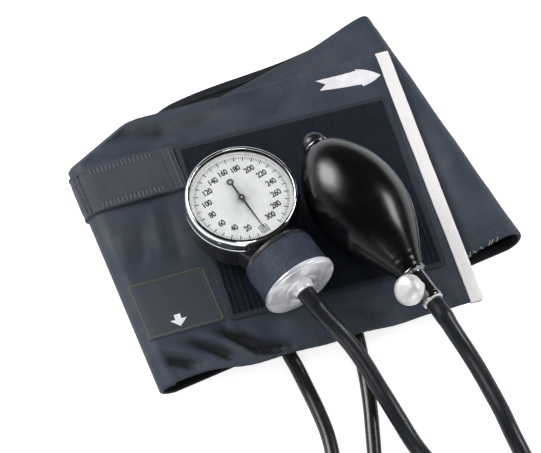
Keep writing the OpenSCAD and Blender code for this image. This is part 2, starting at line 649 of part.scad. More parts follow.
module inflation_bulb() color(rubber) at_bulb() difference() {
    rotate_extrude() polygon(concat([[0, 0]], bulb_outline(0), [[0, bulb_l]]));
    rotate_extrude() polygon(concat([[0, 6], [plug_r, 6]],
        [for (i = [2 : bulb_rings - 2]) let (z = bulb_l * i / bulb_rings)
            [bulb_r(z) - bulb_wall, z]], [[plug_r, bulb_l - 7], [0, bulb_l - 7]]));
    translate([0, 0, -1]) cylinder(r = plug_r, h = 10);
    translate([0, 0, bulb_l - 9]) cylinder(r = plug_r, h = 10);
}

flap_r = 2.2;
flap_t = 0.6;
flap_lift = 0.6;
module inlet_valve_body() color("#aeb2b8") at_bulb() difference() {
    rotate_extrude() polygon(concat([[0, -8.2], [2, -8.2]],
        [for (a = [20 : 14 : 90]) [inlet_d / 2 * sin(a), -2.6 - 5.6 * cos(a)]],
        [[inlet_d / 2, -0.8], [inlet_d / 2 - 0.8, 0], [plug_r, 0], [plug_r, 9],
            [plug_r - 0.6, 9.6], [0, 9.6]]));
    translate([0, 0, -10]) cylinder(r = 1, h = 30);
    translate([0, 0, -10]) cylinder(r = 2, h = 3.6);
    translate([0, 0, 4]) cylinder(r = flap_r + 0.3, h = flap_t + flap_lift + 0.2);
}
module inlet_flap() color("#3a3a3e") at_bulb() translate([0, 0, 4]) cylinder(r = flap_r,
    h = flap_t);
module inlet_screen() color("#8f9299") at_bulb() translate([0, 0, -7.2]) difference() {
    cylinder(r = 2, h = 0.4);
    for (x = [-0.8 : 0.8 : 0.8]) for (y = [-0.8 : 0.8 : 0.8])
        translate([x, y, -1]) cylinder(r = 0.22, h = 3, $fn = 6);
}

// Release valve, in the bulb's neck. The thumb screw stands square to its axis.
screw_side = -130;
port_z = bulb_l + 9.5;
seat_x = 1.7;
pad_h = 0.9;
side_top = valve_d / 2 + 2.2;
module along_screw(d = 0) translate([0, 0, port_z]) rotate([0, 0, screw_side])
    translate([d, 0, 0]) rotate([0, 90, 0]) children();
module valve_body() color("#c4c7cc") at_bulb() difference() {
    union() {
        rotate_extrude() polygon([[0, bulb_l - 10], [plug_r - 0.6, bulb_l - 10],
            [plug_r, bulb_l - 9.2], [plug_r, bulb_l], [neck_r + 0.2, bulb_l],
            [neck_r + 0.2, bulb_l + 1.4], [valve_d / 2, bulb_l + 2.2],
            [valve_d / 2, bulb_l + valve_l - 1.4], [valve_d / 2 - 1.4, bulb_l + valve_l],
            [0, bulb_l + valve_l]]);
        along_screw(0) cylinder(r = stem_r + 1.8, h = side_top);
        translate([0, 0, bulb_l + valve_l]) barbs(barb_l, barb_r);
    }
    translate([0, 0, bulb_l - 12]) cylinder(d = airway_d, h = valve_l + 14);
    translate([0, 0, bulb_l - 6]) cylinder(r = flap_r + 0.3, h = flap_t + flap_lift + 0.2);
    along_screw(0) cylinder(r = 0.9, h = 20);
    along_screw(seat_x) cylinder(r = stem_r + fit, h = 20);
    along_screw(side_top - 1.6) cylinder(r = stem_r + 0.7, h = 5);
}
module outlet_flap() color("#3a3a3e") at_bulb() translate([0, 0, bulb_l - 6])
    cylinder(r = flap_r, h = flap_t);
module seat_pad() color("#4c4036") at_bulb() along_screw(seat_x) cylinder(r = stem_r - 0.15,
    h = pad_h);
head_gap = 0.7;
module thumb_screw() color("#c9ccd2") at_bulb() {
    along_screw(seat_x + pad_h + fit) cylinder(r = stem_r,
        h = side_top + head_gap - seat_x - pad_h - fit);
    along_screw(side_top + head_gap) intersection() {
        linear_extrude(thumb_h + 1) polygon([for (i = [0 : 2 * knurls - 1])
            (thumb_d / 2 - 0.3 * (i % 2)) * [cos(180 * i / knurls), sin(180 * i / knurls)]]);
        rotate_extrude() polygon(concat([[0, 0], [thumb_d / 2 - 2, 0],
            [thumb_d / 2 + 0.1, 1.6]],
            [for (a = [0 : 15 : 90]) [(thumb_d / 2 + 0.1) * pow(cos(a), 0.7),
                thumb_h - 3.4 + 3.4 * sin(a)]]));
    }
}
module packing_ring() color("#26262a") at_bulb() along_screw(side_top - 1.6) difference() {
    cylinder(r = stem_r + 0.7, h = 1.1);
    translate([0, 0, -1]) cylinder(r = stem_r + 0.04, h = 4);
}

// Air lines. The points are the middle of each run, laid by hand, in the roll's frame.
hose_rest = hose_d / 2;
tube_rest = tube_d / 2;
joint_z = tube_rest + 0.45;
gauge_start = along_gauge(cap_front + boss_l);
gauge_route = [gauge_start, [0.4, -66, axis_z - 0.4], [3.9, -73.9, 33], [7.5, -80, 30.5],
    [11.4, -87.2, 26], [14.9, -95.2, 20.6], [17.8, -103.3, 15], [20.6, -111.3, 10.2],
    [23.3, -121, 6.4], [26.3, -134, 4.2], [31, -148, hose_rest], [37.5, -161, hose_rest],
    [44.5, -174, hose_rest], [50, -188, hose_rest], [51.5, -203, hose_rest],
    [47, -219, hose_rest], [35.5, -231.5, hose_rest], [19, -236.5, hose_rest],
    [2.5, -232, hose_rest], [-9.5, -219.5, hose_rest], [-13.6, -203, hose_rest],
    [-11, -187, hose_rest], [-6.6, -174, hose_rest]];
gauge_tube_route = [[-2, -161.5, joint_z], [2.6, -148, tube_rest],
    [6.4, -134.5, tube_rest], [10.2, -120, tube_rest], [13.4, -107.5, tube_rest],
    [16, -95, tube_rest], [17.5, -84, 4.8], [18.6, -73.5, 7.8],
    [gauge_port_x, -66, tube_in_z], [gauge_port_x, port_y - port_l, tube_in_z]];
bulb_route = [bulb_point(bulb_l + valve_l), [54.7, -90.6, 36.6], [57, -99, 34],
    [59.9, -107.3, 30], [63, -115.6, 24.4], [65.8, -123.8, 18.2], [68.6, -133, 11.8],
    [70.6, -144.5, 6.4], [72.8, -160, hose_rest], [76.6, -177, hose_rest],
    [80, -195, hose_rest], [80.4, -214, hose_rest], [74.5, -232, hose_rest],
    [62, -246.5, hose_rest], [44.5, -255.8, hose_rest], [25, -259.3, hose_rest],
    [5.5, -257, hose_rest], [-12.5, -249.2, hose_rest], [-26.4, -236.4, hose_rest],
    [-34.8, -219.5, hose_rest], [-37, -201, hose_rest], [-33.4, -183.5, hose_rest],
    [-28, -171, hose_rest]];
bulb_tube_route = [[-22.6, -158.6, joint_z], [-17, -145.5, tube_rest],
    [-12.4, -131.5, tube_rest], [-10.3, -117, tube_rest], [-10.5, -103, tube_rest],
    [-11.7, -90, 3.9], [-13.2, -79.5, 6],
    [-14.6, -73, 7.7], [bulb_port_x, -66, tube_in_z], [bulb_port_x, port_y - port_l, tube_in_z]];

function route_way(route, i) = unit(route[min(len(route) - 1, i + 1)] - route[max(0, i - 1)]);
module cord_run(route, d, sides = 10, first_way = undef, last_way = undef) {
    n = len(route);
    points = [for (i = [0 : n - 1]) let (
        way = i == 0 && first_way != undef ? first_way :
            i == n - 1 && last_way != undef ? last_way : route_way(route, i),
        side = unit(cross(way, [0, 0, 1])), up = cross(side, way))
        for (k = [0 : sides - 1]) route[i] + d / 2 * (cos(360 * k / sides) * side
            - sin(360 * k / sides) * up)];
    faces = concat(
        [for (i = [0 : n - 2]) for (k = [0 : sides - 1]) let (
            a = i * sides + k, b = i * sides + (k + 1) % sides)
            each [[a, a + sides, b], [b, a + sides, b + sides]]],
        [[for (k = [0 : sides - 1]) k], [for (k = [sides - 1 : -1 : 0]) (n - 1) * sides + k]]);
    polyhedron(points, faces, convexity = 8);
}
drum_way = [sin(gauge_turn), -cos(gauge_turn), 0];
module gauge_hose() color("#22222a") placed() cord_run(gauge_route, hose_d, 10, drum_way);
module bulb_hose() color("#22222a") placed() cord_run(bulb_route, hose_d, 10, bulb_way);
module gauge_line_tube() color("#26262c") placed() cord_run(gauge_tube_route, tube_d, 10);
module bulb_line_tube() color("#26262c") placed() cord_run(bulb_tube_route, tube_d, 10);

// A straight barbed connector, from the end of one run to the start of the other.
module connector(a, b) {
    way = unit(b - a);
    mid = (a + b) / 2;
    half = norm(b - a) / 2;
    translate(mid) rotate([0, acos(way[2]), atan2(way[1], way[0])]) {
        difference() {
            translate([0, 0, -half]) cylinder(d = tube_d + 0.8, h = 2 * half);
            translate([0, 0, -half - 1]) cylinder(d = airway_d, h = 2 * half + 2);
        }
        translate([0, 0, half]) barbs(barb_l, barb_r - 0.5);
        mirror([0, 0, 1]) translate([0, 0, half]) barbs(barb_l, barb_r);
    }
}
function end_of(route) = route[len(route) - 1];
module gauge_line_connector() color("#d8d8d4") placed()
    connector(end_of(gauge_route), gauge_tube_route[0]);
module bulb_line_connector() color("#d8d8d4") placed()
    connector(end_of(bulb_route), bulb_tube_route[0]);

cuff_cover();
cuff_lining();
bladder();
bladder_ports();
hook_pad();
loop_pad();
end_binding();
woven_label();
gauge_strap();
gauge_case();
bellows_drum();
drum_end_cap();
bellows_capsule();
push_rod();
movement_lower_plate();
movement_upper_plate();
movement_pillars();
movement_screws();
sector_gear();
pinion_arbor();
hairspring();
hairspring_stud();
dial();
dial_ring();
pointer();
crystal_gasket();
crystal();
bezel();
gauge_clip();
clip_rivets();
inflation_bulb();
inlet_valve_body();
inlet_flap();
inlet_screen();
valve_body();
outlet_flap();
seat_pad();
thumb_screw();
packing_ring();
gauge_hose();
bulb_hose();
gauge_line_tube();
bulb_line_tube();
gauge_line_connector();
bulb_line_connector();
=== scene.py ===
# Aneroid sphygmomanometer put away: the looks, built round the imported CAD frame
import json
import math
import bpy
import numpy as np
from mathutils import Matrix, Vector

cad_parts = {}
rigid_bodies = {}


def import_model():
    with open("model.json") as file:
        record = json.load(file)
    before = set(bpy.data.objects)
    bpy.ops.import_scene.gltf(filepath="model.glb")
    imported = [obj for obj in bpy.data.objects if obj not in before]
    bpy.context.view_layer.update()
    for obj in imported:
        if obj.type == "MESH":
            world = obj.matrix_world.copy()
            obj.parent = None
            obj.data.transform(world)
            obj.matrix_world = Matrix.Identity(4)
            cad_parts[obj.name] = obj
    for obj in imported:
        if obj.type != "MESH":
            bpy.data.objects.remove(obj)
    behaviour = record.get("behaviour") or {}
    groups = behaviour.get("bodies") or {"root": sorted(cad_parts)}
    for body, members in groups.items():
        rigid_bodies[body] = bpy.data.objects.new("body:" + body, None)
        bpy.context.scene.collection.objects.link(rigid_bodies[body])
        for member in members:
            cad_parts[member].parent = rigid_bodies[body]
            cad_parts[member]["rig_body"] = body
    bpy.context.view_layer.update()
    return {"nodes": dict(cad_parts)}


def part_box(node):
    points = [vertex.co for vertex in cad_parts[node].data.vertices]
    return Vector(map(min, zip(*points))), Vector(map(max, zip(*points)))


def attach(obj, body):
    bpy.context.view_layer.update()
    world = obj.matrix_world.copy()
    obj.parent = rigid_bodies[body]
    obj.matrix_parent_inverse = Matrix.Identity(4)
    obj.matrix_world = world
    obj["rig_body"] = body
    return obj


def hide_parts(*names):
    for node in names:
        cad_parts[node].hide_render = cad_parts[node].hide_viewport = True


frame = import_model()
nodes = frame["nodes"]
mm = 0.001
print("stage: frame loaded,", len(nodes), "nodes")

# From the middle of the roll to the middle of the footprint, in mm as in the CAD
rollShift = np.array([-12.22, -1.11, 0.0])


def unit(p):
    # every row divided by its length
    return p / np.maximum(np.linalg.norm(p, axis=-1, keepdims=True), 1e-12)


def smooth(x):
    # 3x² - 2x³ between 0 and 1
    c = np.clip(x, 0, 1)
    return c * c * (3 - 2 * c)


def mix(a, b, s):
    # straight line from a to b
    return a + (b - a) * s


def bell(x, width):
    # exp(-(x/width)²): a bump of height 1 about nought
    return np.exp(-(x / width) ** 2)


def rounded(near, rim, least=0.01):
    # quarter circle √(1 - (1 - near/rim)²): from the root of least at an edge to 1 at rim inside it
    return np.sqrt(np.clip(1 - (1 - np.clip(near / rim, 0, 1)) ** 2, least, 1))


def runOf(points):
    # distance run along a line of points
    return np.concatenate([[0], np.cumsum(np.linalg.norm(np.diff(points, axis=0), axis=1))])


def meshFrom(name, points, faces, body="cuff_and_gauge", smoothShade=True, uv=None):
    # points in mm, in the CAD's frame; faces are quads or triangles in one array, or a list of arrays
    groups = faces if isinstance(faces, list) else [faces]
    mesh = bpy.data.meshes.new(name)
    loops = np.concatenate([g.ravel() for g in groups])
    sizes = np.concatenate([np.full(len(g), g.shape[1]) for g in groups])
    starts = np.concatenate([[0], np.cumsum(sizes)[:-1]])
    mesh.vertices.add(len(points))
    mesh.vertices.foreach_set("co", (points * mm).astype(np.float32).ravel())
    mesh.loops.add(len(loops))
    mesh.loops.foreach_set("vertex_index", loops.astype(np.int32))
    mesh.polygons.add(len(sizes))
    mesh.polygons.foreach_set("loop_start", starts.astype(np.int32))
    mesh.polygons.foreach_set("loop_total", sizes.astype(np.int32))
    mesh.polygons.foreach_set("use_smooth", np.full(len(sizes), smoothShade))
    mesh.update(calc_edges=True)
    mesh.validate()
    if uv is not None:
        layer = mesh.uv_layers.new(name="along")
        layer.data.foreach_set("uv", uv[loops].astype(np.float32).ravel())
    obj = bpy.data.objects.new(name, mesh)
    bpy.context.scene.collection.objects.link(obj)
    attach(obj, body)
    return obj


def gridFaces(rows, columns, closeRows=False, closeColumns=False):
    # quads between neighbouring points of a rows x columns grid
    i = np.arange(rows if closeRows else rows - 1)[:, None]
    j = np.arange(columns if closeColumns else columns - 1)[None, :]
    a = i * columns + j
    b = i * columns + (j + 1) % columns
    c = (i + 1) % rows * columns + (j + 1) % columns
    d = (i + 1) % rows * columns + j
    return np.stack([a, b, c, d], -1).reshape(-1, 4)


def fan(tip, first, count, turned=False):
    # triangles from a tip to the sides of a ring of points that starts at first
    here = first + np.arange(count)
    after = first + (np.arange(count) + 1) % count
    return np.stack([np.full(count, tip), here, after] if turned else [np.full(count, tip), after, here], 1)


def outward(points, groups):
    # faces turned so that the closed mesh's signed volume, the sum of a·(b x c)/6, is above nought
    points = points - points.mean(0)
    total = 0.0
    for g in groups:
        for k in range(1, g.shape[1] - 1):
            across = np.cross(points[g[:, k]], points[g[:, k + 1]])
            total += np.einsum("ij,ij->i", points[g[:, 0]], across).sum()
    return groups if total > 0 else [g[:, ::-1] for g in groups]


def noise(x, y, scale, seed, octaves=3):
    # sum of sine waves in seeded directions: a smooth field between about -1 and 1
    rng = np.random.default_rng(seed)
    total, weight = 0, 0
    for k in range(octaves):
        for _ in range(5):
            angle, phase = rng.uniform(0, 2 * math.pi, 2)
            f = 2 * math.pi * 2 ** k / scale * rng.uniform(0.7, 1.3)
            total = total + np.sin(f * (x * math.cos(angle) + y * math.sin(angle)) + phase) / 2 ** k
            weight += 1 / 2 ** k
    return total / weight * 2


class Material:
    # a node tree round one Principled shader; add() makes a node and sets or links its inputs
    def __init__(self, name):
        self.material = bpy.data.materials.new(name)
        self.material.use_nodes = True
        self.tree = self.material.node_tree
        self.shader = self.tree.nodes["Principled BSDF"]

    def link(self, source, socket):
        self.tree.links.new(source, socket)

    def give(self, socket, value):
        if isinstance(value, bpy.types.NodeSocket):
            self.link(value, socket)
        elif isinstance(value, (tuple, list)) and socket.type == "RGBA":
            socket.default_value = (*value[:3], 1)
        else:
            socket.default_value = value

    def add(self, kind, settings=None, **values):
        node = self.tree.nodes.new(kind)
        for key, value in (settings or {}).items():
            setattr(node, key, value)
        for key, value in values.items():
            self.give(node.inputs[key], value)
        return node

    def maths(self, operation, a, b):
        node = self.add("ShaderNodeMath", {"operation": operation})
        self.give(node.inputs[0], a)
        self.give(node.inputs[1], b)
        return node.outputs[0]

    def place(self, scale=(1, 1, 1), turn=(0, 0, 0), kind="Object"):
        # coordinates in mm on the object, or the piece's own map in cm
        coordinates = self.add("ShaderNodeTexCoord")
        factor = 1 / mm if kind == "Object" else 1.0
        node = self.add("ShaderNodeMapping", Scale=tuple(s * factor for s in scale), Rotation=turn)
        self.link(coordinates.outputs[kind], node.inputs["Vector"])
        return node.outputs["Vector"]

    def noise(self, at, scale, detail=3.0, rough=0.55, warp=0.0):
        node = self.add("ShaderNodeTexNoise", Scale=scale, Detail=detail, Roughness=rough, Distortion=warp)
        self.link(at, node.inputs["Vector"])
        return node.outputs[0]

    def wave(self, at, scale, direction="X", warp=0.0):
        # sine bands, each 0.314 / scale wide
        node = self.add("ShaderNodeTexWave", {"bands_direction": direction}, Scale=scale, Distortion=warp)
        self.link(at, node.inputs["Vector"])
        return node.outputs["Fac"]

    def ramp(self, value, *stops):
        # stops are (place, colour or number)
        node = self.add("ShaderNodeValToRGB")
        for k, (at, colour) in enumerate(stops):
            element = node.color_ramp.elements[k] if k < 2 else node.color_ramp.elements.new(at)
            element.position = at
            element.color = (*colour, 1) if isinstance(colour, tuple) else (colour, colour, colour, 1)
        self.link(value, node.inputs[0])
        return node.outputs[0]

    def blend(self, factor, a, b, kind="MIX"):
        node = self.add("ShaderNodeMix", {"data_type": "RGBA", "blend_type": kind})
        self.give(node.inputs[0], factor)
        self.give(node.inputs[6], a)
        self.give(node.inputs[7], b)
        return node.outputs[2]

    def bump(self, height, distance, under=None):
        # distance in mm
        node = self.add("ShaderNodeBump", Distance=distance * mm, Height=height)
        if under is not None:
            self.link(under, node.inputs["Normal"])
        return node.outputs[0]

    def finish(self, **values):
        for key, value in values.items():
            self.give(self.shader.inputs[key.replace("_", " ")], value)
        return self.material


# Studio: white table, pale surroundings, soft lamps
studio = {
    "focalLength": 221.45, "sensorWidth": 36.0, "clip": (0.05, 20.0),
    "cameraDistance": 1600.0, "azimuth": -18.2, "elevation": 60.0, "aim": rollShift,
    "floorSize": 3000.0, "floorZ": -0.05, "floorColour": (0.86, 0.86, 0.87), "floorGlow": 0.74,
    "mirrorShare": 0.3, "skySide": (0.12, 0.62, 0.775), "skyFade": (-0.3, 0.95),
    "skyLow": (0.17, 0.175, 0.19), "skyHigh": (0.74, 0.76, 0.80),
    "windowSide": (-0.62, 0.60, 0.506), "windowFade": (0.89, 0.985), "windowGlow": 4.6,
    "reflectionRamp": [(0.0, 0.10), (0.12, 0.05), (0.3, 0.025), (0.8, 0.015)],
    "tentSide": (-0.78, -0.62, 0.0), "tentFade": (0.05, 0.75),
    "tentRamp": [(0.0, 0.25), (0.16, 0.4), (0.28, 0.15), (0.40, 0.0)], "tentTint": (1.0, 1.0, 1.02),
    "lamps": {
        "keyLamp": dict(place=(-545, 530, 500), aim=(20, -15, 40), size=(410, 430), power=3.4),
        "sideLamp": dict(place=(665, -60, 570), aim=(40, -35, 50), size=(400, 230), power=2.6),
        "frontLamp": dict(place=(-120, -1000, 420), aim=(0, -60, 30), size=(700, 260), power=3.2),
    },
}


def facing(name, data, place, back, right):
    # an object at place (mm), whose own z axis points back and whose x axis points right
    obj = bpy.data.objects.new(name, data)
    bpy.context.scene.collection.objects.link(obj)
    columns = np.eye(4)
    columns[:3, 0], columns[:3, 1], columns[:3, 2] = right, np.cross(back, right), back
    columns[:3, 3] = place * mm
    obj.matrix_world = Matrix(columns)
    return obj


def placeCamera():
    # looks from azimuth and elevation at the middle of the roll, from far off, as the photograph does
    a, e = math.radians(studio["azimuth"]), math.radians(studio["elevation"])
    back = np.array([math.sin(a) * math.cos(e), -math.cos(a) * math.cos(e), math.sin(e)])
    right = np.array([math.cos(a), math.sin(a), 0.0])
    camera = bpy.data.cameras.new("camera")
    camera.lens, camera.sensor_width = studio["focalLength"], studio["sensorWidth"]
    camera.sensor_fit = "HORIZONTAL"
    camera.clip_start, camera.clip_end = studio["clip"]
    place = studio["aim"] + studio["cameraDistance"] * back
    bpy.context.scene.camera = facing("camera", camera, place, back, right)


placeCamera()
print("stage: camera placed")

# Gauge: where it lies on the roll, and the heights (Z) and radii its parts share
gauge = {"turn": 14.8, "middleX": -16.0, "padNear": -53.7, "capPastPad": 1.3, "axisZ": 35.5, "caseZ": 21.65,
         "bezelZ": 40.25, "bezelWidth": 54.3, "collarTop": 44.85, "collarR": 26.0, "caseR": 25.0,
         "boreR": 24.6, "seatZ": 43.05, "dialZ": 43.55, "drumBack": 32.4, "drumFront": 48.3,
         "capFront": 51.3}
gaugeTurn = math.radians(gauge["turn"])
gaugeMiddle = np.array([gauge["middleX"], gauge["padNear"] - gauge["capPastPad"]
                        + gauge["capFront"] * math.cos(gaugeTurn), 0.0])
gaugeAxisZ = gauge["axisZ"]


def gaugePoint(x, y, z):
    # from the gauge's frame (dial centre on z, 12 o'clock along y) to the roll's
    c, s = math.cos(gaugeTurn), math.sin(gaugeTurn)
    return np.stack([gaugeMiddle[0] + x * c - y * s, gaugeMiddle[1] + x * s + y * c, z + 0 * x], -1)


# Bulb: it leans on the pad beside the bezel, its axis along bulbWay from the inlet end
bulb = {"length": 78.5, "diameter": 44.6, "heading": -74.6, "dip": 2.6, "valve": 18.4, "belly": 0.44,
        "underBezel": 6.35, "startY": 11.3, "padTop": 16.65, "clear": 0.05}
bellyAt = bulb["belly"] * bulb["length"]
heading, dip = math.radians(bulb["heading"]), math.radians(bulb["dip"])
bulbWay = np.array([math.cos(dip) * math.cos(heading), math.cos(dip) * math.sin(heading), -math.sin(dip)])
bulbSide = np.array([-math.sin(heading), math.cos(heading), 0.0])
bulbUp = np.cross(bulbWay, bulbSide)
bulbStart = np.array([
    gaugeMiddle[0] + (gauge["bezelWidth"] + bulb["diameter"]) / 2 - bulb["underBezel"], bulb["startY"],
    bulb["padTop"] + bulb["diameter"] / 2 / math.cos(dip) + bellyAt * math.sin(dip) + bulb["clear"]])

# Air lines. The route points are those of the CAD, in mm from the middle of the roll.
hoses = {"hoseDiameter": 8.0, "tubeDiameter": 6.9, "hoseRest": 4.0, "tubeRest": 3.45, "jointZ": 3.9,
         "tubeInZ": 8.9, "bossFace": 3.2, "flare": 0.35, "flareRun": 13, "flareFade": 4, "sides": 28,
         "step": 1.0, "knotSteps": 24}
h, t, j, q = hoses["hoseRest"], hoses["tubeRest"], hoses["jointZ"], hoses["tubeInZ"]
gaugeStart = gaugePoint(0.0, -(gauge["capFront"] + hoses["bossFace"]), gaugeAxisZ)
bulbEnd = bulbStart + (bulb["length"] + bulb["valve"]) * bulbWay
gaugeHoseRoute = [gaugeStart, [0.4, -66, 35.1], [3.9, -73.9, 33], [7.5, -80, 30.5], [11.4, -87.2, 26],
                  [14.9, -95.2, 20.6], [17.8, -103.3, 15], [20.6, -111.3, 10.2], [23.3, -121, 6.4],
                  [26.3, -134, 4.2], [31, -148, h], [37.5, -161, h], [44.5, -174, h], [50, -188, h],
                  [51.5, -203, h], [47, -219, h], [35.5, -231.5, h], [19, -236.5, h], [2.5, -232, h],
                  [-9.5, -219.5, h], [-13.6, -203, h], [-11, -187, h], [-6.6, -174, h]]
gaugeTubeRoute = [[-2, -161.5, j], [2.6, -148, t], [6.4, -134.5, t], [10.2, -120, t], [13.4, -107.5, t],
                  [16, -95, t], [17.5, -84, 4.8], [18.6, -73.5, 7.8], [19, -66, q], [19, -58, q]]
bulbHoseRoute = [bulbEnd, [54.7, -90.6, 36.6], [57, -99, 34], [59.9, -107.3, 30], [63, -115.6, 24.4],
                 [65.8, -123.8, 18.2], [68.6, -133, 11.8], [70.6, -144.5, 6.4], [72.8, -160, h],
                 [76.6, -177, h], [80, -195, h], [80.4, -214, h], [74.5, -232, h], [62, -246.5, h],
                 [44.5, -255.8, h], [25, -259.3, h], [5.5, -257, h], [-12.5, -249.2, h],
                 [-26.4, -236.4, h], [-34.8, -219.5, h], [-37, -201, h], [-33.4, -183.5, h], [-28, -171, h]]
bulbTubeRoute = [[-22.6, -158.6, j], [-17, -145.5, t], [-12.4, -131.5, t], [-10.3, -117, t],
                 [-10.5, -103, t], [-11.7, -90, 3.9], [-13.2, -79.5, 6], [-14.6, -73, 7.7],
                 [-15.4, -66, q], [-15.4, -58, q]]


def smoothRoute(route, step):
    # a Catmull-Rom curve with knots at the root of the chord length, at even steps of length
    p = np.array(route, float)
    p = np.vstack([2 * p[0] - p[1], p, 2 * p[-1] - p[-2]])
    k = np.concatenate([[0], np.cumsum(np.linalg.norm(np.diff(p, axis=0), axis=1) ** 0.5)])
    i = np.repeat(np.arange(1, len(p) - 2), hoses["knotSteps"])
    s = np.tile(np.linspace(0, 1, hoses["knotSteps"], endpoint=False), len(p) - 3)
    ka, kb, kc, kd = k[i - 1], k[i], k[i + 1], k[i + 2]
    x = kb + s * (kc - kb)
    blend = lambda a, b, u, v: ((v - x) / (v - u))[:, None] * a + ((x - u) / (v - u))[:, None] * b
    a1, a2 = blend(p[i - 1], p[i], ka, kb), blend(p[i], p[i + 1], kb, kc)
    a3 = blend(p[i + 1], p[i + 2], kc, kd)
    curve = blend(blend(a1, a2, ka, kc), blend(a2, a3, kb, kd), kb, kc)
    curve = np.vstack([curve, p[-2]])
    run = runOf(curve)
    even = np.linspace(0, run[-1], int(run[-1] / step) + 1)
    return np.stack([np.interp(even, run, curve[:, c]) for c in range(3)], 1), run[-1]


def tubeAlong(name, line, radius, sides):
    # rings of the given radii square to the line, closed at both ends; v runs along it in cm
    n = len(line)
    way = unit(np.gradient(line, axis=0))
    side = unit(np.cross(way, [0.0, 0.0, 1.0]))
    over = np.cross(side, way)
    angle = np.arange(sides) * 2 * math.pi / sides
    ring = np.cos(angle)[None, :, None] * side[:, None] + np.sin(angle)[None, :, None] * over[:, None]
    points = (line[:, None] + ring * radius[:, None, None]).reshape(-1, 3)
    faces = [gridFaces(n, sides, closeColumns=True)[:, ::-1],
             np.vstack([fan(n * sides, 0, sides, turned=True), fan(n * sides + 1, (n - 1) * sides, sides)])]
    run = runOf(line) / 10
    around = np.broadcast_arrays(np.arange(sides)[None] / sides, run[:, None])
    uv = np.concatenate([np.stack(around, -1).reshape(-1, 2), [[0.5, 0], [0.5, run[-1]]]])
    return meshFrom(name, np.vstack([points, line[0], line[-1]]) + rollShift, faces, uv=uv)


def makeHose(name, route, diameter, node):
    # the hose swells a little over the barbs at its pushed-on ends
    line, length = smoothRoute(route, hoses["step"])
    run = np.linspace(0, length, len(line))
    fromEnds = smooth((hoses["flareRun"] - run) / hoses["flareFade"]) \
        + smooth((hoses["flareRun"] - (length - run)) / hoses["flareFade"])
    radius = diameter / 2 + hoses["flare"] * fromEnds
    line[:, 2] = np.maximum(line[:, 2], radius)
    obj = tubeAlong(name, line, radius, hoses["sides"])
    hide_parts(node)
    # the path is given in metres, in the frame
    path = [tuple(p) for p in (line + rollShift) * mm]
    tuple(path[0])
    return obj


gaugeHose = makeHose("gaugeHose", gaugeHoseRoute, hoses["hoseDiameter"], "gauge_hose")
bulbHose = makeHose("bulbHose", bulbHoseRoute, hoses["hoseDiameter"], "bulb_hose")
gaugeTube = makeHose("gaugeTube", gaugeTubeRoute, hoses["tubeDiameter"], "gauge_line_tube")
bulbTube = makeHose("bulbTube", bulbTubeRoute, hoses["tubeDiameter"], "bulb_line_tube")
print("stage: air lines laid")


# Materials. Object coordinates are in mm, the pieces' own maps in cm.
perPeriod = 0.314  # a wave texture's scale times the width of one of its bands


def clothMaterial(name, dark, light, pitch=0.05, rough=0.5, sheen=0.06, weave=0.05, crumple=0.34):
    # coated cloth: crossing threads, cloudy tone, lint specks, shallow crumples; painted shade, near black,
    # where the piece's shade attribute is high
    m = Material(name)
    at, threads = m.place(), m.place(kind="UV")
    cross = m.maths("MAXIMUM", *(m.wave(threads, perPeriod / pitch, way, warp=0.3) for way in "XY"))
    tone = m.ramp(m.noise(at, 0.045, 4), (0.32, dark), (0.68, light))
    tone = m.blend(0.16, tone, m.ramp(cross, (0.2, 0.35), (0.9, 1.0)), "MULTIPLY")
    lint = m.ramp(m.noise(at, 1.3, 2), (0.70, 0.0), (0.80, 1.0))
    tone = m.blend(m.maths("MULTIPLY", lint, 0.10), tone, (0.30, 0.32, 0.36))
    # painted shade: fold valleys and hem turns, marked by an attribute on the cover, blend the tone towards
    # near black
    deep = m.add("ShaderNodeAttribute", {"attribute_name": "paintedShade"})
    tone = m.blend(m.maths("MULTIPLY", deep.outputs["Fac"], 0.95), tone, (0.004, 0.005, 0.006))
    soft = m.bump(m.noise(at, 0.08, 5, 0.5, 0.6), crumple)
    shine = m.ramp(m.noise(at, 0.07, 3), (0.35, rough - 0.06), (0.7, rough + 0.1))
    return m.finish(Base_Color=tone, Roughness=shine, Normal=m.bump(cross, weave, under=soft),
                    Sheen_Weight=sheen, Sheen_Roughness=0.35, Specular_IOR_Level=0.30)


def tapeMaterial(name, dark, light, ribs, rough=0.75, sheen=0.3, fuzz=0.12, specular=0.3):
    # woven tape: ribs one way, finer threads the other, fuzz of fibre ends
    m = Material(name)
    at, threads = m.place(), m.place(kind="UV")
    rib = m.wave(threads, perPeriod / ribs, "X", warp=0.5)
    cross = m.wave(threads, perPeriod / (ribs * 0.45), "Y", warp=0.5)
    hair = m.noise(at, 2.2, 3, 0.7)
    fine = m.maths("MULTIPLY", m.maths("ADD", cross, hair), 0.3)
    height = m.maths("ADD", m.maths("MULTIPLY", rib, 0.6), fine)
    cloud = m.maths("MULTIPLY", m.noise(at, 0.12, 3), 0.4)
    tone = m.ramp(m.maths("ADD", m.maths("MULTIPLY", height, 0.7), cloud), (0.3, dark), (0.85, light))
    shine = m.ramp(hair, (0.3, rough - 0.1), (0.7, min(1.0, rough + 0.1)))
    return m.finish(Base_Color=tone, Roughness=shine, Normal=m.bump(height, fuzz), Sheen_Weight=sheen,
                    Sheen_Roughness=0.5, Specular_IOR_Level=specular)


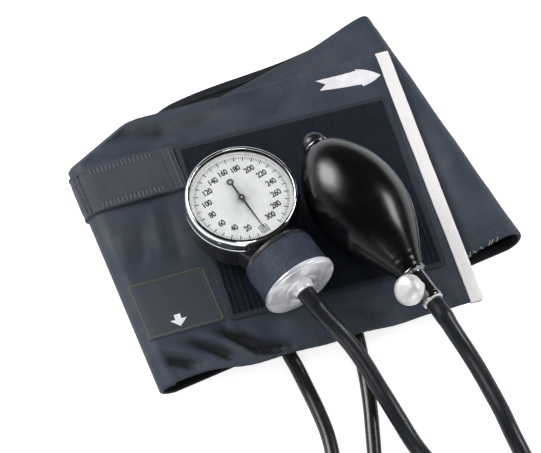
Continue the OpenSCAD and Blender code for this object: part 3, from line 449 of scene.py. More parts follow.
def metalMaterial(name, dark, light, rough=0.12, brushed=0.0, grimeAndPaintedReflection=0.25, metallic=1.0, bump=0.01,
                  patches=0.25):
    # plated or turned metal: cloudy tone, hairline scratches, finger haze; on the end cap the near-white
    # base and the dark cloudy patches are painted reflection
    m = Material(name)
    at = m.place()
    cloud = m.noise(at, patches, 4, 0.4)
    hair = m.noise(m.place(scale=(0.15, 3.5, 0.9), turn=(0.2, 0.4, 0.7)), 1.0, 4, 0.6)
    # cloudy darkening towards the dark tone: grime and haze on most metals, painted reflection on the end
    # cap
    tone = m.blend(m.maths("MULTIPLY", m.ramp(cloud, (0.4, 0.0), (0.75, 1.0)), grimeAndPaintedReflection), light, dark)
    scratches = m.maths("MULTIPLY", m.ramp(hair, (0.55, 0.0), (0.75, 1.0)), 0.08 + brushed)
    shine = m.maths("ADD", m.ramp(cloud, (0.3, rough * 0.7), (0.8, rough * 1.5)), scratches)
    return m.finish(Base_Color=tone, Metallic=metallic, Roughness=shine,
                    Normal=m.bump(hair, bump + 0.02 * brushed))


def rubberMaterial(name, dark, light, rough=0.3, grain=0.02, dust=0.05, scale=0.6):
    # moulded rubber: fine grain, patches of bloom, a little dust
    m = Material(name)
    at = m.place()
    tone = m.blend(m.ramp(m.noise(at, 0.08, 4, 0.6), (0.4, 0.0), (0.75, 1.0)), dark, light)
    specks = m.ramp(m.noise(at, 2.1, 2), (0.72, 0.0), (0.80, 1.0))
    tone = m.blend(m.maths("MULTIPLY", specks, dust), tone, (0.45, 0.45, 0.47))
    shine = m.ramp(m.noise(at, 0.15, 4), (0.3, rough * 0.8), (0.75, rough * 1.25))
    return m.finish(Base_Color=tone, Roughness=shine, Normal=m.bump(m.noise(at, scale, 4, 0.65), grain))


def paintMaterial(name, dark, light, rough=0.4, texture=0.05, scale=0.9, coat=0.0, specular=0.5):
    # sprayed paint: orange peel or fine crackle, worn tone
    m = Material(name)
    at = m.place()
    peel = m.noise(at, scale, 5, 0.6)
    tone = m.blend(m.ramp(m.noise(at, 0.12, 4), (0.35, 0.0), (0.7, 1.0)), dark, light)
    tone = m.blend(0.6, tone, m.ramp(peel, (0.40, 0.3), (0.58, 1.0)), "MULTIPLY")
    shine = m.ramp(peel, (0.3, rough * 0.8), (0.75, rough * 1.2))
    return m.finish(Base_Color=tone, Roughness=shine, Normal=m.bump(peel, texture), Coat_Weight=coat,
                    Coat_Roughness=0.15, Specular_IOR_Level=specular)


def printMaterial(name, dark, light, rough=0.5, grain=0.02, scale=1.6):
    # ink, enamel or paper-smooth coating: faint mottle
    m = Material(name)
    at = m.place()
    speck = m.noise(at, scale, 4, 0.6)
    tone = m.blend(m.ramp(m.noise(at, 0.2, 4), (0.35, 0.0), (0.7, 1.0)), dark, light)
    shine = m.ramp(speck, (0.3, rough * 0.9), (0.7, min(1.0, rough * 1.15)))
    return m.finish(Base_Color=tone, Roughness=shine, Normal=m.bump(speck, grain))


def threadMaterial(name, dark, light, rough=0.6):
    # twisted sewing thread
    m = Material(name)
    at = m.place(turn=(0.0, 0.0, 0.8))
    twist = m.wave(at, 0.9, "X", warp=1.5)
    tone = m.blend(m.maths("MULTIPLY", twist, m.noise(at, 0.4, 3)), dark, light)
    shine = m.ramp(twist, (0.0, rough - 0.1), (1.0, rough + 0.1))
    return m.finish(Base_Color=tone, Roughness=shine, Normal=m.bump(twist, 0.06), Sheen_Weight=0.3,
                    Sheen_Roughness=0.4)


def glassMaterial(name):
    # clear moulded window: faint smears in its tone, roughness and level
    m = Material(name)
    smear = m.noise(m.place(), 0.12, 4, 0.6, 1.5)
    tone = m.blend(smear, (0.97, 0.985, 0.98), (0.995, 1.0, 1.0))
    return m.finish(Base_Color=tone, Transmission_Weight=1.0, IOR=1.3,
                    Roughness=m.ramp(smear, (0.4, 0.0), (0.9, 0.02)), Normal=m.bump(smear, 0.004))


# Each finish: its darkest and lightest tone, then what sets it apart from others of its kind
finishes = {
    clothMaterial: {
        "slateCloth": dict(dark=(0.029, 0.042, 0.061), light=(0.058, 0.068, 0.088)),
        # painted shade: the lining is near black so that the insides of the folds read dark
        "paintedShadeLining": dict(dark=(0.004, 0.005, 0.007), light=(0.008, 0.010, 0.014), rough=0.7),
    },
    tapeMaterial: {
        "hookTape": dict(dark=(0.003, 0.005, 0.009), light=(0.019, 0.026, 0.039), ribs=0.05, sheen=0.02,
                         fuzz=0.16, specular=0.12),
        "padRim": dict(dark=(0.012, 0.016, 0.026), light=(0.030, 0.038, 0.055), ribs=0.07, rough=0.65,
                       sheen=0.1, fuzz=0.08),
        "loopTape": dict(dark=(0.020, 0.025, 0.036), light=(0.060, 0.070, 0.095), ribs=0.09, rough=0.9,
                         sheen=0.6, fuzz=0.3),
        "whiteTape": dict(dark=(0.84, 0.80, 0.785), light=(0.97, 0.93, 0.915), ribs=0.06, rough=0.8,
                          sheen=0.1, fuzz=0.09),
        "labelWeave": dict(dark=(0.025, 0.031, 0.042), light=(0.054, 0.063, 0.080), ribs=0.045, rough=0.6,
                           sheen=0.15, fuzz=0.05),
        "webbing": dict(dark=(0.026, 0.030, 0.041), light=(0.062, 0.069, 0.092), ribs=0.10, rough=0.6,
                        sheen=0.2, fuzz=0.10),
    },
    rubberMaterial: {
        "bladderRubber": dict(dark=(0.016, 0.016, 0.017), light=(0.030, 0.030, 0.031), rough=0.6, grain=0.06,
                              dust=0.12),
        "hoseRubber": dict(dark=(0.010, 0.012, 0.015), light=(0.018, 0.021, 0.026), rough=0.34, grain=0.012),
        "tubeRubber": dict(dark=(0.014, 0.013, 0.012), light=(0.024, 0.022, 0.020), rough=0.26, grain=0.012),
        "bulbRubber": dict(dark=(0.0020, 0.0021, 0.0025), light=(0.0038, 0.0040, 0.0048), rough=0.23,
                           grain=0.003, dust=0.02, scale=0.42),
        "sealRubber": dict(dark=(0.020, 0.020, 0.021), light=(0.035, 0.034, 0.033), rough=0.45),
    },
    paintMaterial: {
        "casePaint": dict(dark=(0.022, 0.022, 0.024), light=(0.038, 0.038, 0.041), rough=0.36, texture=0.02,
                          scale=0.5, coat=0.3),
        "drumPaint": dict(dark=(0.033, 0.045, 0.070), light=(0.058, 0.077, 0.114), rough=0.5, texture=0.22,
                          scale=1.4, specular=0.35),
    },
    metalMaterial: {
        # painted reflection: the end cap's near-white base with low metallic and its large dark patches
        # stand in for the bright and dark things a chrome cap mirrors
        "capMetal": dict(dark=(0.12, 0.12, 0.13), light=(0.98, 0.98, 0.99), rough=0.16, brushed=0.01,
                         grimeAndPaintedReflection=0.85, metallic=0.3, bump=0.003, patches=0.11),
        "chrome": dict(dark=(0.58, 0.58, 0.60), light=(0.88, 0.89, 0.90), rough=0.07),
        "satinNickel": dict(dark=(0.74, 0.72, 0.70), light=(0.92, 0.90, 0.88), rough=0.5, brushed=0.05,
                            grimeAndPaintedReflection=0.4, metallic=0.6),
        "darkNickel": dict(dark=(0.10, 0.10, 0.11), light=(0.32, 0.32, 0.34), rough=0.16, grimeAndPaintedReflection=0.5),
        "brass": dict(dark=(0.48, 0.32, 0.11), light=(0.80, 0.58, 0.24), rough=0.22, brushed=0.08),
        "bronze": dict(dark=(0.42, 0.24, 0.10), light=(0.72, 0.45, 0.22), rough=0.25, brushed=0.05),
        "steel": dict(dark=(0.34, 0.34, 0.35), light=(0.62, 0.63, 0.64), rough=0.22, brushed=0.10),
        "springSteel": dict(dark=(0.42, 0.42, 0.41), light=(0.74, 0.74, 0.72), rough=0.18, brushed=0.05),
        "bluedSteel": dict(dark=(0.02, 0.04, 0.14), light=(0.05, 0.10, 0.32), rough=0.18),
    },
    printMaterial: {
        "dialEnamel": dict(dark=(0.84, 0.84, 0.85), light=(0.94, 0.94, 0.945), rough=0.45),
        "dialInk": dict(dark=(0.010, 0.010, 0.012), light=(0.024, 0.024, 0.028)),
        "pointerBlack": dict(dark=(0.006, 0.006, 0.007), light=(0.014, 0.014, 0.016), rough=0.3),
        "printWhite": dict(dark=(0.80, 0.78, 0.79), light=(0.92, 0.90, 0.91), rough=0.7, grain=0.05,
                           scale=1.2),
        "fibre": dict(dark=(0.30, 0.10, 0.06), light=(0.42, 0.16, 0.09), rough=0.7, grain=0.05),
        "plastic": dict(dark=(0.030, 0.030, 0.032), light=(0.05, 0.05, 0.054), rough=0.35, scale=0.7),
    },
    glassMaterial: {"glass": {}},
    threadMaterial: {
        "darkThread": dict(dark=(0.008, 0.009, 0.012), light=(0.030, 0.033, 0.042)),
        "hemThread": dict(dark=(0.014, 0.017, 0.024), light=(0.045, 0.052, 0.070)),
        "tickThread": dict(dark=(0.085, 0.095, 0.125), light=(0.170, 0.185, 0.230)),
        "slateThread": dict(dark=(0.050, 0.058, 0.078), light=(0.130, 0.145, 0.185)),
        "paleThread": dict(dark=(0.38, 0.38, 0.34), light=(0.70, 0.70, 0.64)),
        "oliveThread": dict(dark=(0.050, 0.060, 0.048), light=(0.130, 0.145, 0.105)),
    },
}
looks = {name: make(name, **values) for make, kinds in finishes.items() for name, values in kinds.items()}


def fitOut(obj, look, node=None):
    # the finish, the slot and, where the piece stands for a CAD node, that node's name
    obj.data.materials.clear()
    obj.data.materials.append(looks[look])
    if node is not None:
        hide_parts(node)
    return obj


print("stage: materials made", len(looks))

# The roll: one surface of two parameters, as in the CAD. t counts the stretches (0 to 1 top layer,
# then left fold, bottom layer, right fold, inner layer) and v runs across the cloth, in mm.
roll = {"halfWidth": 72.0, "middleY": -3.0, "height": 16.2, "foldRadius": 8.1, "foldX": -82.0,
        "foldSlant": -0.054, "foldCorner": 56, "lowShift": 3.6, "endX": 80.9, "endSlant": 1.3,
        "endShift": -1.9, "rightFold": [(102.4, -48.5), (77.5, 94.5)], "rightRadii": (8.2, 5.3),
        "tail": [(-62.0, -64.0), (-52.0, 62.0)], "tailZ": 5.3, "waveX": -14, "waveLength": 34.3,
        "drawnX": -57, "drawnBy": 2.6, "bladderT": 2.2, "seamT": 1.2, "clothT": 0.45, "hem": 4.2}


def leftAxis(v):
    # axis of the left fold: slanted, drawn to the right past its far corner
    x = roll["foldX"] + roll["foldSlant"] * v + 2 * np.maximum(0, v - roll["foldCorner"]) \
        + roll["foldRadius"]
    return np.stack([x, roll["middleY"] + v], -1)


def endPoint(v):
    # the free end of the top layer
    return np.stack([roll["endX"] + roll["endSlant"] * v / roll["halfWidth"],
                     roll["middleY"] + v + roll["endShift"]], -1)


def rollPoint(t, v):
    # straight stretches between the folds' axes, half circles round them, an edge wave near the front
    t, v = np.broadcast_arrays(np.asarray(t, float), np.asarray(v, float))
    share = (v + roll["halfWidth"]) / (2 * roll["halfWidth"])
    across = share[..., None]
    left, end = leftAxis(v), endPoint(v)
    low = left + [0, roll["lowShift"]]
    right, tail = (mix(*np.array(roll[key]), across) for key in ("rightFold", "tail"))
    r, r0, height = mix(*roll["rightRadii"], share), roll["foldRadius"], roll["height"]
    topS, leftS, bottomS, rightS, innerS = (np.clip(t - k, 0, 1) for k in range(5))
    top = mix(end, left, topS[..., None])
    topX = top[..., 0]
    wave = 0.5 - 0.5 * np.cos(2 * math.pi * (topX - roll["waveX"]) / roll["waveLength"])
    nearFront = smooth((10 - roll["halfWidth"] - v) / 10) * smooth((end[..., 0] - 8 - topX) / 20)
    topZ = height - 2 * nearFront * wave
    topZ = topZ + (height - topZ) * smooth((topS - 0.8) / 0.2)
    # near the front left corner the edge draws in
    drawn = roll["drawnBy"] * smooth((-58 - v) / 13) * bell(topX - roll["drawnX"], 15)
    leftX = left[..., 0] - r0 * np.sin(math.pi * leftS)
    leftY = mix(left[..., 1], low[..., 1], smooth(leftS))
    leftZ = r0 + r0 * np.cos(math.pi * leftS)
    bottom = mix(low, right, bottomS[..., None])
    bottomY = bottom[..., 1] + 4.5 * smooth(bottomS / 0.18) * smooth((0.72 - bottomS) / 0.5) * share ** 3
    turned = right + (r * np.sin(math.pi * rightS))[..., None] * unit(right - low)
    rightZ = r - r * np.cos(math.pi * rightS)
    inner = mix(right, tail, innerS[..., None])
    innerZ = mix(2 * r, roll["tailZ"], smooth(innerS / 0.24))
    k = np.clip(np.ceil(t) - 1, 0, 4).astype(int)
    return np.stack([np.choose(k, (topX, leftX, bottom[..., 0], turned[..., 0], inner[..., 0])),
                     np.choose(k, (top[..., 1] + drawn, leftY, bottomY, turned[..., 1], inner[..., 1])),
                     np.choose(k, (topZ, leftZ, 0 * topZ, rightZ, innerZ))], -1)


def rollOut(t, v):
    # the outward normal, from differences along both parameters
    t, v = np.broadcast_arrays(np.asarray(t, float), np.asarray(v, float))
    dv = rollPoint(t, v + np.where(v < 0, 0.5, 0)) - rollPoint(t, v - np.where(v < 0, 0, 0.5))
    dt = rollPoint(np.minimum(5, t + 0.01), v) - rollPoint(np.maximum(0, t - 0.01), v)
    flat = (t > 2) & (t < 3)
    return np.where(flat[..., None], np.array([0.0, 0.0, -1.0]), unit(np.cross(dv, dt)))


def stackThickness(t, v):
    # seam at the ends and edges, bladder and both cloths between
    full = 2 * 0.6 + roll["bladderT"]
    inHems = smooth((roll["halfWidth"] - 4 - np.abs(v)) / 6)
    filled = smooth((t - 0.04) / 0.1) * smooth((2.55 - t) / 0.17) * inHems
    return mix(roll["seamT"], full, filled)


def topPlace(x, y):
    # (t, v) of a place on the top layer, in three steps of correction
    v = y - roll["middleY"] - roll["endShift"]
    for _ in range(3):
        end, left = endPoint(v)[..., 0], leftAxis(v)[..., 0]
        t = (end - x) / (end - left)
        v = y - roll["middleY"] - roll["endShift"] * (1 - t)
    return t, v


# Wrinkles on the top layer: (path, width, depth) in mm, fading in from the start; a minus depth is a ridge
creases = [
    ([(-50.5, -50.5), (-42.1, -54.5), (-36.7, -58.5), (-32.9, -63.0), (-29.0, -67.0), (-21.0, -71.5),
      (-10, -76)],
     4.0, 3.4),
    ([(-66.5, -53.5), (-56.0, -56.6), (-50.1, -61.0), (-45.5, -65.0), (-40.0, -70.5)], 3.1, 2.6),
    ([(-80.5, -57.5), (-74.0, -60.5), (-66.2, -63.6), (-58.0, -68.5)], 3.2, 2.2),
    ([(-57.0, -53.0), (-46.6, -57.5), (-40.4, -63.0), (-33.5, -71.0)], 2.0, -1.2),
    ([(-72.0, -57.0), (-62.0, -60.5), (-54.0, -66.5)], 2.2, -0.9),
    ([(-40.0, -50.5), (-30.0, -56.0), (-22.0, -64.0)], 3.2, -0.9), ([(-33, -57), (-8, -69)], 2.2, 0.5),
    ([(10, -60), (36, -71)], 3.0, 0.7), ([(0, -59), (24, -70)], 2.6, -0.6),
    ([(40, -58), (66, -70)], 3.2, 0.7),
    ([(48, -57), (72, -64)], 2.6, -0.6), ([(-61, 15), (-67, -10)], 3.4, 0.8),
    ([(-53, 24), (-56, -8)], 3.0, -0.8), ([(-46, 22), (-49, -14)], 3.2, 0.7),
    ([(-70, 18), (-74, -8)], 3.4, -0.6), ([(-78, 66), (-30, 58)], 4.5, 1.1),
    ([(-60, 71), (-10, 62)], 4.5, -1.2), ([(-20, 62), (20, 69)], 4.5, 0.9), ([(0, 55), (30, 62)], 3.5, -0.7),
    ([(-78, 57), (-50, 54)], 3.0, -0.8), ([(30, 55), (68, 69)], 4.0, -0.5),
    ([(-80, 60), (-66, 50)], 2.8, 0.9),
    ([(-76, -22), (-79, 8)], 3.2, 0.6), ([(20, 70), (60, 66)], 2.4, 0.6), ([(-44, 54), (-14, 57)], 3.0, 0.7),
    ([(-68, 63), (-48, 70)], 2.6, 0.9),
]
farSeam = np.array([(-80, 66.5), (-13.8, 67.4), (16.5, 66.4), (52, 65.6), (76, 66.2)])
# How far the soft wrinkles, the puckers and the sewn lines stand out or sink in, in mm
wrinkles = {"soft": 0.6, "softSize": 34, "lower": 0.35, "lowerSize": 42, "hemLine": 6, "topHem": 0.25,
            "lowerHem": 0.2, "pucker": 0.12, "farSeam": 0.75, "farPucker": 0.25}


def nearPath(x, y, path):
    # distance from points to the nearest leg of the path, and the share of its legs passed there
    away, along = np.full(np.shape(x), 1e3), np.zeros(np.shape(x))
    for k, (a, b) in enumerate(zip(path[:-1], path[1:])):
        ax, ay = b[0] - a[0], b[1] - a[1]
        s = np.clip(((x - a[0]) * ax + (y - a[1]) * ay) / (ax * ax + ay * ay), 0, 1)
        d = np.hypot(x - a[0] - s * ax, y - a[1] - s * ay)
        along = np.where(d < away, (k + s) / (len(path) - 1), along)
        away = np.minimum(d, away)
    return away, along


def wrinkle(t, v):
    # how far the cloth stands out of the plain roll: soft noise, listed creases, seam puckers,
    # all held down under the pad, the strap, the label and the printed arrow
    p = rollPoint(t, v)
    x, y = p[..., 0], p[..., 1]
    inward = roll["halfWidth"] - np.abs(v)
    padded = smooth((x + 41) / 5) * smooth((76 - x) / 3) * smooth((y + 59) / 4) * smooth((51 - y) / 4)
    strapped = smooth((y - 19) / 3) * smooth((52 - y) / 3) * smooth((-36 - x) / 2)
    labelled = smooth((y + 53) / 4) * smooth((-14 - y) / 4) * smooth((-36 - x) / 2)
    printed = smooth((x - 36) / 5) * smooth((y - 47) / 4)
    free = (1 - padded) * (1 - 0.9 * strapped) * (1 - 0.6 * labelled) * (1 - 0.6 * printed)
    height = wrinkles["soft"] * noise(x, y, wrinkles["softSize"], 3) * (0.35 + 0.65 * smooth((y - 44) / 10))
    for path, width, depth in creases:
        away, along = nearPath(x, y, path)
        fade = smooth(0.15 + along / 0.5) * smooth((1.12 - along) / 0.3)
        height = height - depth * fade * bell(away, width)
    gathers = wrinkles["farSeam"] + wrinkles["farPucker"] * np.sin(x * 1.1 + np.sin(x * 0.37))
    height = height - gathers * bell(y - np.interp(x, *farSeam.T), 1.1)
    hemLine = bell(inward - wrinkles["hemLine"], 0.9)
    pucker = wrinkles["pucker"] * np.sin(x * 1.5 + 1.3 * np.sin(x * 0.23)) * smooth((12 - inward) / 8)
    top = free * (height * (0.3 + 0.7 * smooth(inward / 5)) - wrinkles["topHem"] * hemLine) \
        + pucker * (1 - padded)
    top = top * smooth((1.08 - t) / 0.1) * smooth((76 - x) / 4)
    lower = wrinkles["lower"] * noise(x, y, wrinkles["lowerSize"], 8) * smooth((4.2 - t) / 0.3)
    lower = (lower - wrinkles["lowerHem"] * hemLine) * smooth((t - 1.9) / 0.3) * smooth(p[..., 2] / 2.5)
    return np.where(t < 1.5, top, lower)


def clothPoint(t, v):
    # a point on the wrinkled outer face
    return rollPoint(t, v) + rollOut(t, v) * wrinkle(t, v)[..., None]


def lengthAlong(t):
    # run along the middle of the cloth, in cm, for the weave's map
    return runOf(rollPoint(t, 0 * t)) / 10


# Cloth steps: even along the flats, closer round the folds
clothT = np.concatenate([np.linspace(k, k + 1, steps)[:-1] for k, steps in enumerate((150, 26, 70, 26))]
                        + [np.linspace(4, 5, 60)])
cuff = {"coverFlat": (0.152, 0.545), "coverArea": 0.0755, "liningFlat": (0.14, 0.545), "liningArea": 0.0695,
        "liningInset": 2.0, "foldShade": (0.2, 2.0), "hemShade": 0.9}


def thicken(obj):
    # the cloth's thickness, grown inwards
    modifier = obj.modifiers.new("solidify", "SOLIDIFY")
    modifier.thickness, modifier.offset = roll["clothT"] * mm, -1.0


def makeCover():
    # the outer cloth, turned in over both long edges as a hem: v runs over the outer face, half a circle
    # takes it round each edge, and the tucks run back along the inner face
    r = (roll["seamT"] + roll["clothT"]) / 2
    flat = roll["halfWidth"] - r
    face = np.linspace(-flat, flat, 100)
    turn = np.linspace(0, math.pi, 7)[1:]
    tuck = np.linspace(0, roll["hem"], 4)[1:]
    beyond, sunk = r * np.sin(turn), r - r * np.cos(turn)
    v = np.concatenate([(-flat + tuck)[::-1], (-flat - beyond)[::-1], face, flat + beyond, flat - tuck])
    depth = np.concatenate([0 * tuck, sunk[::-1], 0 * face, sunk, 0 * tuck])
    inside = np.concatenate([1 + 0 * tuck, np.zeros(len(turn) * 2 + len(face)), 1 + 0 * tuck])
    t2, v2 = np.meshgrid(clothT, v, indexing="ij")
    fold = wrinkle(t2, v2)
    h = mix(fold, np.minimum(fold, 0), np.maximum(depth / (2 * r), inside)[None])
    h = h - depth[None] - inside[None] * (stackThickness(t2, v2) + roll["clothT"])
    points = rollPoint(t2, v2) + rollOut(t2, v2) * h[..., None]
    across = runOf(np.column_stack([v, depth])) / 10
    uv = np.stack(np.meshgrid(lengthAlong(clothT), across, indexing="ij"), -1).reshape(-1, 2)
    obj = meshFrom("cuffCover", points.reshape(-1, 3) + rollShift, gridFaces(len(clothT), len(v)), uv=uv)
    # painted shade: the fold valleys and the hem's turned edge and inner side are darkened through an
    # attribute that the cloth's material reads
    shallow, deep = cuff["foldShade"]
    hemShade = cuff["hemShade"] * np.maximum(inside, smooth((depth / r - 0.35) / 0.5))
    shade = np.maximum(smooth((-shallow - fold) / deep), hemShade[None])
    shades = obj.data.attributes.new("paintedShade", "FLOAT", "POINT")
    shades.data.foreach_set("value", shade.ravel().astype(np.float32))
    thicken(obj)
    fitOut(obj, "slateCloth", "cuff_cover")


def makeLining():
    # the inner cloth, a stack's thickness under the cover, inside its hems; its near-black finish is painted
    # shade for the dark inside of the folds
    half = roll["halfWidth"] - cuff["liningInset"]
    v = np.linspace(-half, half, 60)
    t2, v2 = np.meshgrid(clothT, v, indexing="ij")
    slack = 0.12 * noise(t2 * 110, v2, 30, 5) * smooth((66 - np.abs(v2)) / 8)
    h = np.minimum(wrinkle(t2, v2), 0) - stackThickness(t2, v2) + slack
    points = rollPoint(t2, v2) + rollOut(t2, v2) * h[..., None]
    uv = np.stack(np.meshgrid(lengthAlong(clothT), v / 10, indexing="ij"), -1).reshape(-1, 2)
    faces = gridFaces(len(clothT), len(v))[:, ::-1]
    obj = meshFrom("cuffLining", points.reshape(-1, 3) + rollShift, faces, uv=uv)
    thicken(obj)
    fitOut(obj, "paintedShadeLining", "cuff_lining")


makeCover()
makeLining()
print("stage: cuff cloth rolled")


# Trim laid on the roll
def closedSkin(name, top, bottom, uv=None, smoothShade=True):
    # top and bottom grids of points joined round their border
    rows, columns = top.shape[:2]
    n = rows * columns
    upper = gridFaces(rows, columns)
    i, j = np.arange(rows), np.arange(columns)
    border = np.concatenate([i * columns, (rows - 1) * columns + j[1:], i[::-1][1:] * columns + columns - 1,
                             j[::-1][1:-1]])
    following = np.roll(border, -1)
    side = np.stack([following, border, border + n, following + n], 1)
    points = np.vstack([top.reshape(-1, 3), bottom.reshape(-1, 3)])
    if uv is not None:
        uv = np.vstack([uv, uv])
    return meshFrom(name, points + rollShift, [upper, upper[:, ::-1] + n, side], uv=uv,
                    smoothShade=smoothShade)


def onTop(x, y):
    # point and normal of the wrinkled top layer at a place
    t, v = topPlace(x, y)
    return clothPoint(t, v), rollOut(t, v)


def edges(length, rim, step):
    # places along a length: close together in the rim, even between
    ends = np.array([0, 0.03, 0.12, 0.3, 0.6, 1.0]) * rim
    inner = np.linspace(ends[-1], length - ends[-1], max(2, int(length / step)) + 1)
    return np.concatenate([ends, inner[1:-1], (length - ends)[::-1]]) - length / 2


def clothGrid(t, v):
    # both parameters as grids, the run along t in mm, and the distances to the nearest v edge and t edge
    tt, vv = np.meshgrid(t, v, indexing="ij")
    run = lengthAlong(t) * 10
    runs = np.broadcast_to(run[:, None], tt.shape)
    return tt, vv, runs, np.minimum(vv - v[0], v[-1] - vv), np.minimum(runs, run[-1] - runs)


def mapOf(a, b):
    # a piece's own map in cm, from two grids in mm
    return np.stack([a, b], -1).reshape(-1, 2) / 10


# Hook pad: ribs of hooks across it, inside a smooth sewn rim
hookPad = {"middle": (18.1, -4.0), "turn": math.radians(-2), "length": 107.4, "width": 99.4,
           "thickness": 0.8, "rim": 3.0, "proud": 0.42, "corner": 3.0, "pitch": 2.6, "ribs": 0.62,
           "sunk": 0.25, "groove": 0.22, "grooveIn": 1.0, "edge": 0.5, "wander": 0.8, "step": (0.33, 0.75)}


def turnedPad(a, b, way=1):
    # a and b turned by the pad's angle, or back with way -1
    c, s = math.cos(hookPad["turn"]), math.sin(hookPad["turn"]) * way
    return a * c - b * s, a * s + b * c


def inPad(a, b):
    # distance inwards from the pad's edge
    return np.minimum(hookPad["length"] / 2 - np.abs(a), hookPad["width"] / 2 - np.abs(b))


def roundRect(a, b, halfA, halfB, corner):
    # squeeze a square grid so that its corners become quarter circles
    da, db = np.minimum(halfA - np.abs(a), corner), np.minimum(halfB - np.abs(b), corner)
    pull = np.clip((corner - da) * (corner - db) / corner ** 2, 0, 1)
    shrink = corner * (1 - 1 / math.sqrt(2)) * pull
    return a - np.sign(a) * shrink, b - np.sign(b) * shrink


def makeHookPad():
    # ribs |sin| across the pad, bumpy along; the rim stands proud of them with a soft edge and a sewn groove
    sides = zip(("length", "width"), hookPad["step"])
    a, b = (edges(hookPad[key], hookPad["edge"], step) for key, step in sides)
    aa, bb = np.meshgrid(a, b, indexing="ij")
    near = inPad(aa, bb)
    rim = smooth((hookPad["rim"] - near) / 0.5)
    wander = hookPad["wander"] * noise(aa, bb * 0.6, 24, 4)
    ribs = np.abs(np.sin(math.pi * (aa + wander) / hookPad["pitch"]))
    worn = 0.75 + 0.5 * noise(aa * 1.6, bb * 0.5, 11, 6)
    height = (1 - rim) * (hookPad["ribs"] * ribs * worn + 0.07 * np.sin(bb * 7.3 + aa)) \
        + rim * hookPad["proud"]
    height = height - hookPad["groove"] * bell(near - hookPad["grooveIn"], 0.35)
    height = (hookPad["thickness"] - hookPad["sunk"] + height) * rounded(near, hookPad["edge"], 0)
    ra, rb = turnedPad(*roundRect(aa, bb, hookPad["length"] / 2, hookPad["width"] / 2, hookPad["corner"]))
    base, out = onTop(hookPad["middle"][0] + ra, hookPad["middle"][1] + rb)
    obj = closedSkin("hookPad", base + out * height[..., None], base - out * 0.02, mapOf(aa, bb))
    fitOut(obj, "hookTape", "hook_pad")
    # the faces of the rim take the second finish
    obj.data.materials.append(looks["padRim"])
    centres = np.zeros(len(obj.data.polygons) * 3)
    obj.data.polygons.foreach_get("center", centres)
    centres = centres.reshape(-1, 3)[:, :2] / mm - rollShift[:2] - np.array(hookPad["middle"])
    inRim = inPad(*turnedPad(*centres.T, way=-1)) < hookPad["rim"] - 0.2
    obj.data.polygons.foreach_set("material_index", inRim.astype(np.int32))


# Gauge strap: webbing over the left fold
strap = {"v": (26.8, 51.4), "start": (-34.2, 38.0), "endT": 1.78, "pitch": 0.95, "ribs": 0.045,
         "thickness": 1.25, "edge": 0.6, "seams": (1.5, 5.9, 46.6, 49.0), "seamDepth": 0.5,
         "seamWidth": 0.42, "clipLoop": 1.3, "padStep": 0.82, "selvedge": 0.10, "groove": 0.16,
         "tickIn": 2.7, "tickFrom": 9, "step": 0.4, "width": 0.0246}


def stripSteps(start, startV, endT, flatSteps, foldSteps):
    # t from a place on the top layer to endT round the left fold
    first = topPlace(np.array([start]), np.array([startV]))[0][0]
    return np.concatenate([np.linspace(first, 1, flatSteps)[:-1], np.linspace(1, endT, foldSteps)])


strapT = stripSteps(*strap["start"], strap["endT"], 90, 40)


def strapRise(t, runs):
    # how far the webbing lifts off the cloth: over the clip, and where it starts on the pad's rim
    return strap["clipLoop"] * smooth((runs - 7) / 9) * smooth((1.08 - t) / 0.25) \
        + strap["padStep"] * smooth((2.7 - runs) / 0.9)


def makeStrap():
    # ribs across the webbing, sunk seams, thicker selvedges with a groove for the ticks
    v = edges(strap["v"][1] - strap["v"][0], strap["edge"], strap["step"]) + sum(strap["v"]) / 2
    tt, vv, runs, nearV, nearT = clothGrid(strapT, v)
    ribs = strap["ribs"] * np.sin(2 * math.pi * runs / strap["pitch"])
    seams = strap["seamDepth"] * sum(bell(runs - at, strap["seamWidth"]) for at in strap["seams"])
    selvedge = strap["selvedge"] * smooth((2.2 - nearV) / 0.8)
    groove = strap["groove"] * smooth((1.9 - np.abs(nearV - strap["tickIn"])) / 0.4) \
        * smooth(runs - strap["tickFrom"])
    edge = strap["thickness"] * rounded(np.minimum(nearV, nearT), strap["edge"])
    height = edge + ribs * smooth(nearV / 1.5) - seams + selvedge - groove
    lift = strapRise(tt, runs)
    base, out = clothPoint(tt, vv), rollOut(tt, vv)
    top, bottom = base + out * (height + lift)[..., None], base + out * (lift + 0.04)[..., None]
    obj = closedSkin("gaugeStrap", top, bottom, mapOf(runs, vv - v[0]))
    fitOut(obj, "webbing", "gauge_strap")


# Woven label: over the left fold, with a narrow border and a plain arrow
label = {"v": (-47.0, -15.6), "start": (-38.6, -33.0), "endT": 1.16, "thickness": 0.42, "quilt": 0.08,
         "edge": 0.3, "groove": 0.12, "grooveIn": 1.0, "step": 0.5, "width": 0.0314, "topLength": 116,
         "arrow": [[-1.5, 3.1], [1.5, 3.1], [1.5, 0.4], [4.0, 0.4], [0.0, -3.4], [-4.0, 0.4], [-1.5, 0.4]],
         "arrowPlace": [-59.5, -43.6]}
labelT = stripSteps(*label["start"], label["endT"], 80, 16)


def makeLabel():
    # thin cloth with turned edges, slightly quilted by its stitches
    v = edges(label["v"][1] - label["v"][0], label["edge"], label["step"]) + sum(label["v"]) / 2
    tt, vv, runs, nearV, nearT = clothGrid(labelT, v)
    near = np.minimum(nearV, nearT)
    height = label["thickness"] * rounded(near, label["edge"]) + label["quilt"] * smooth(near / 3) \
        - label["groove"] * bell(near - label["grooveIn"], 0.3)
    base, out = clothPoint(tt, vv), rollOut(tt, vv)
    obj = closedSkin("wovenLabel", base + out * height[..., None], base - out * 0.02, mapOf(runs, vv - v[0]))
    fitOut(obj, "labelWeave", "woven_label")


makeHookPad()
makeStrap()
makeLabel()
print("stage: trim laid")


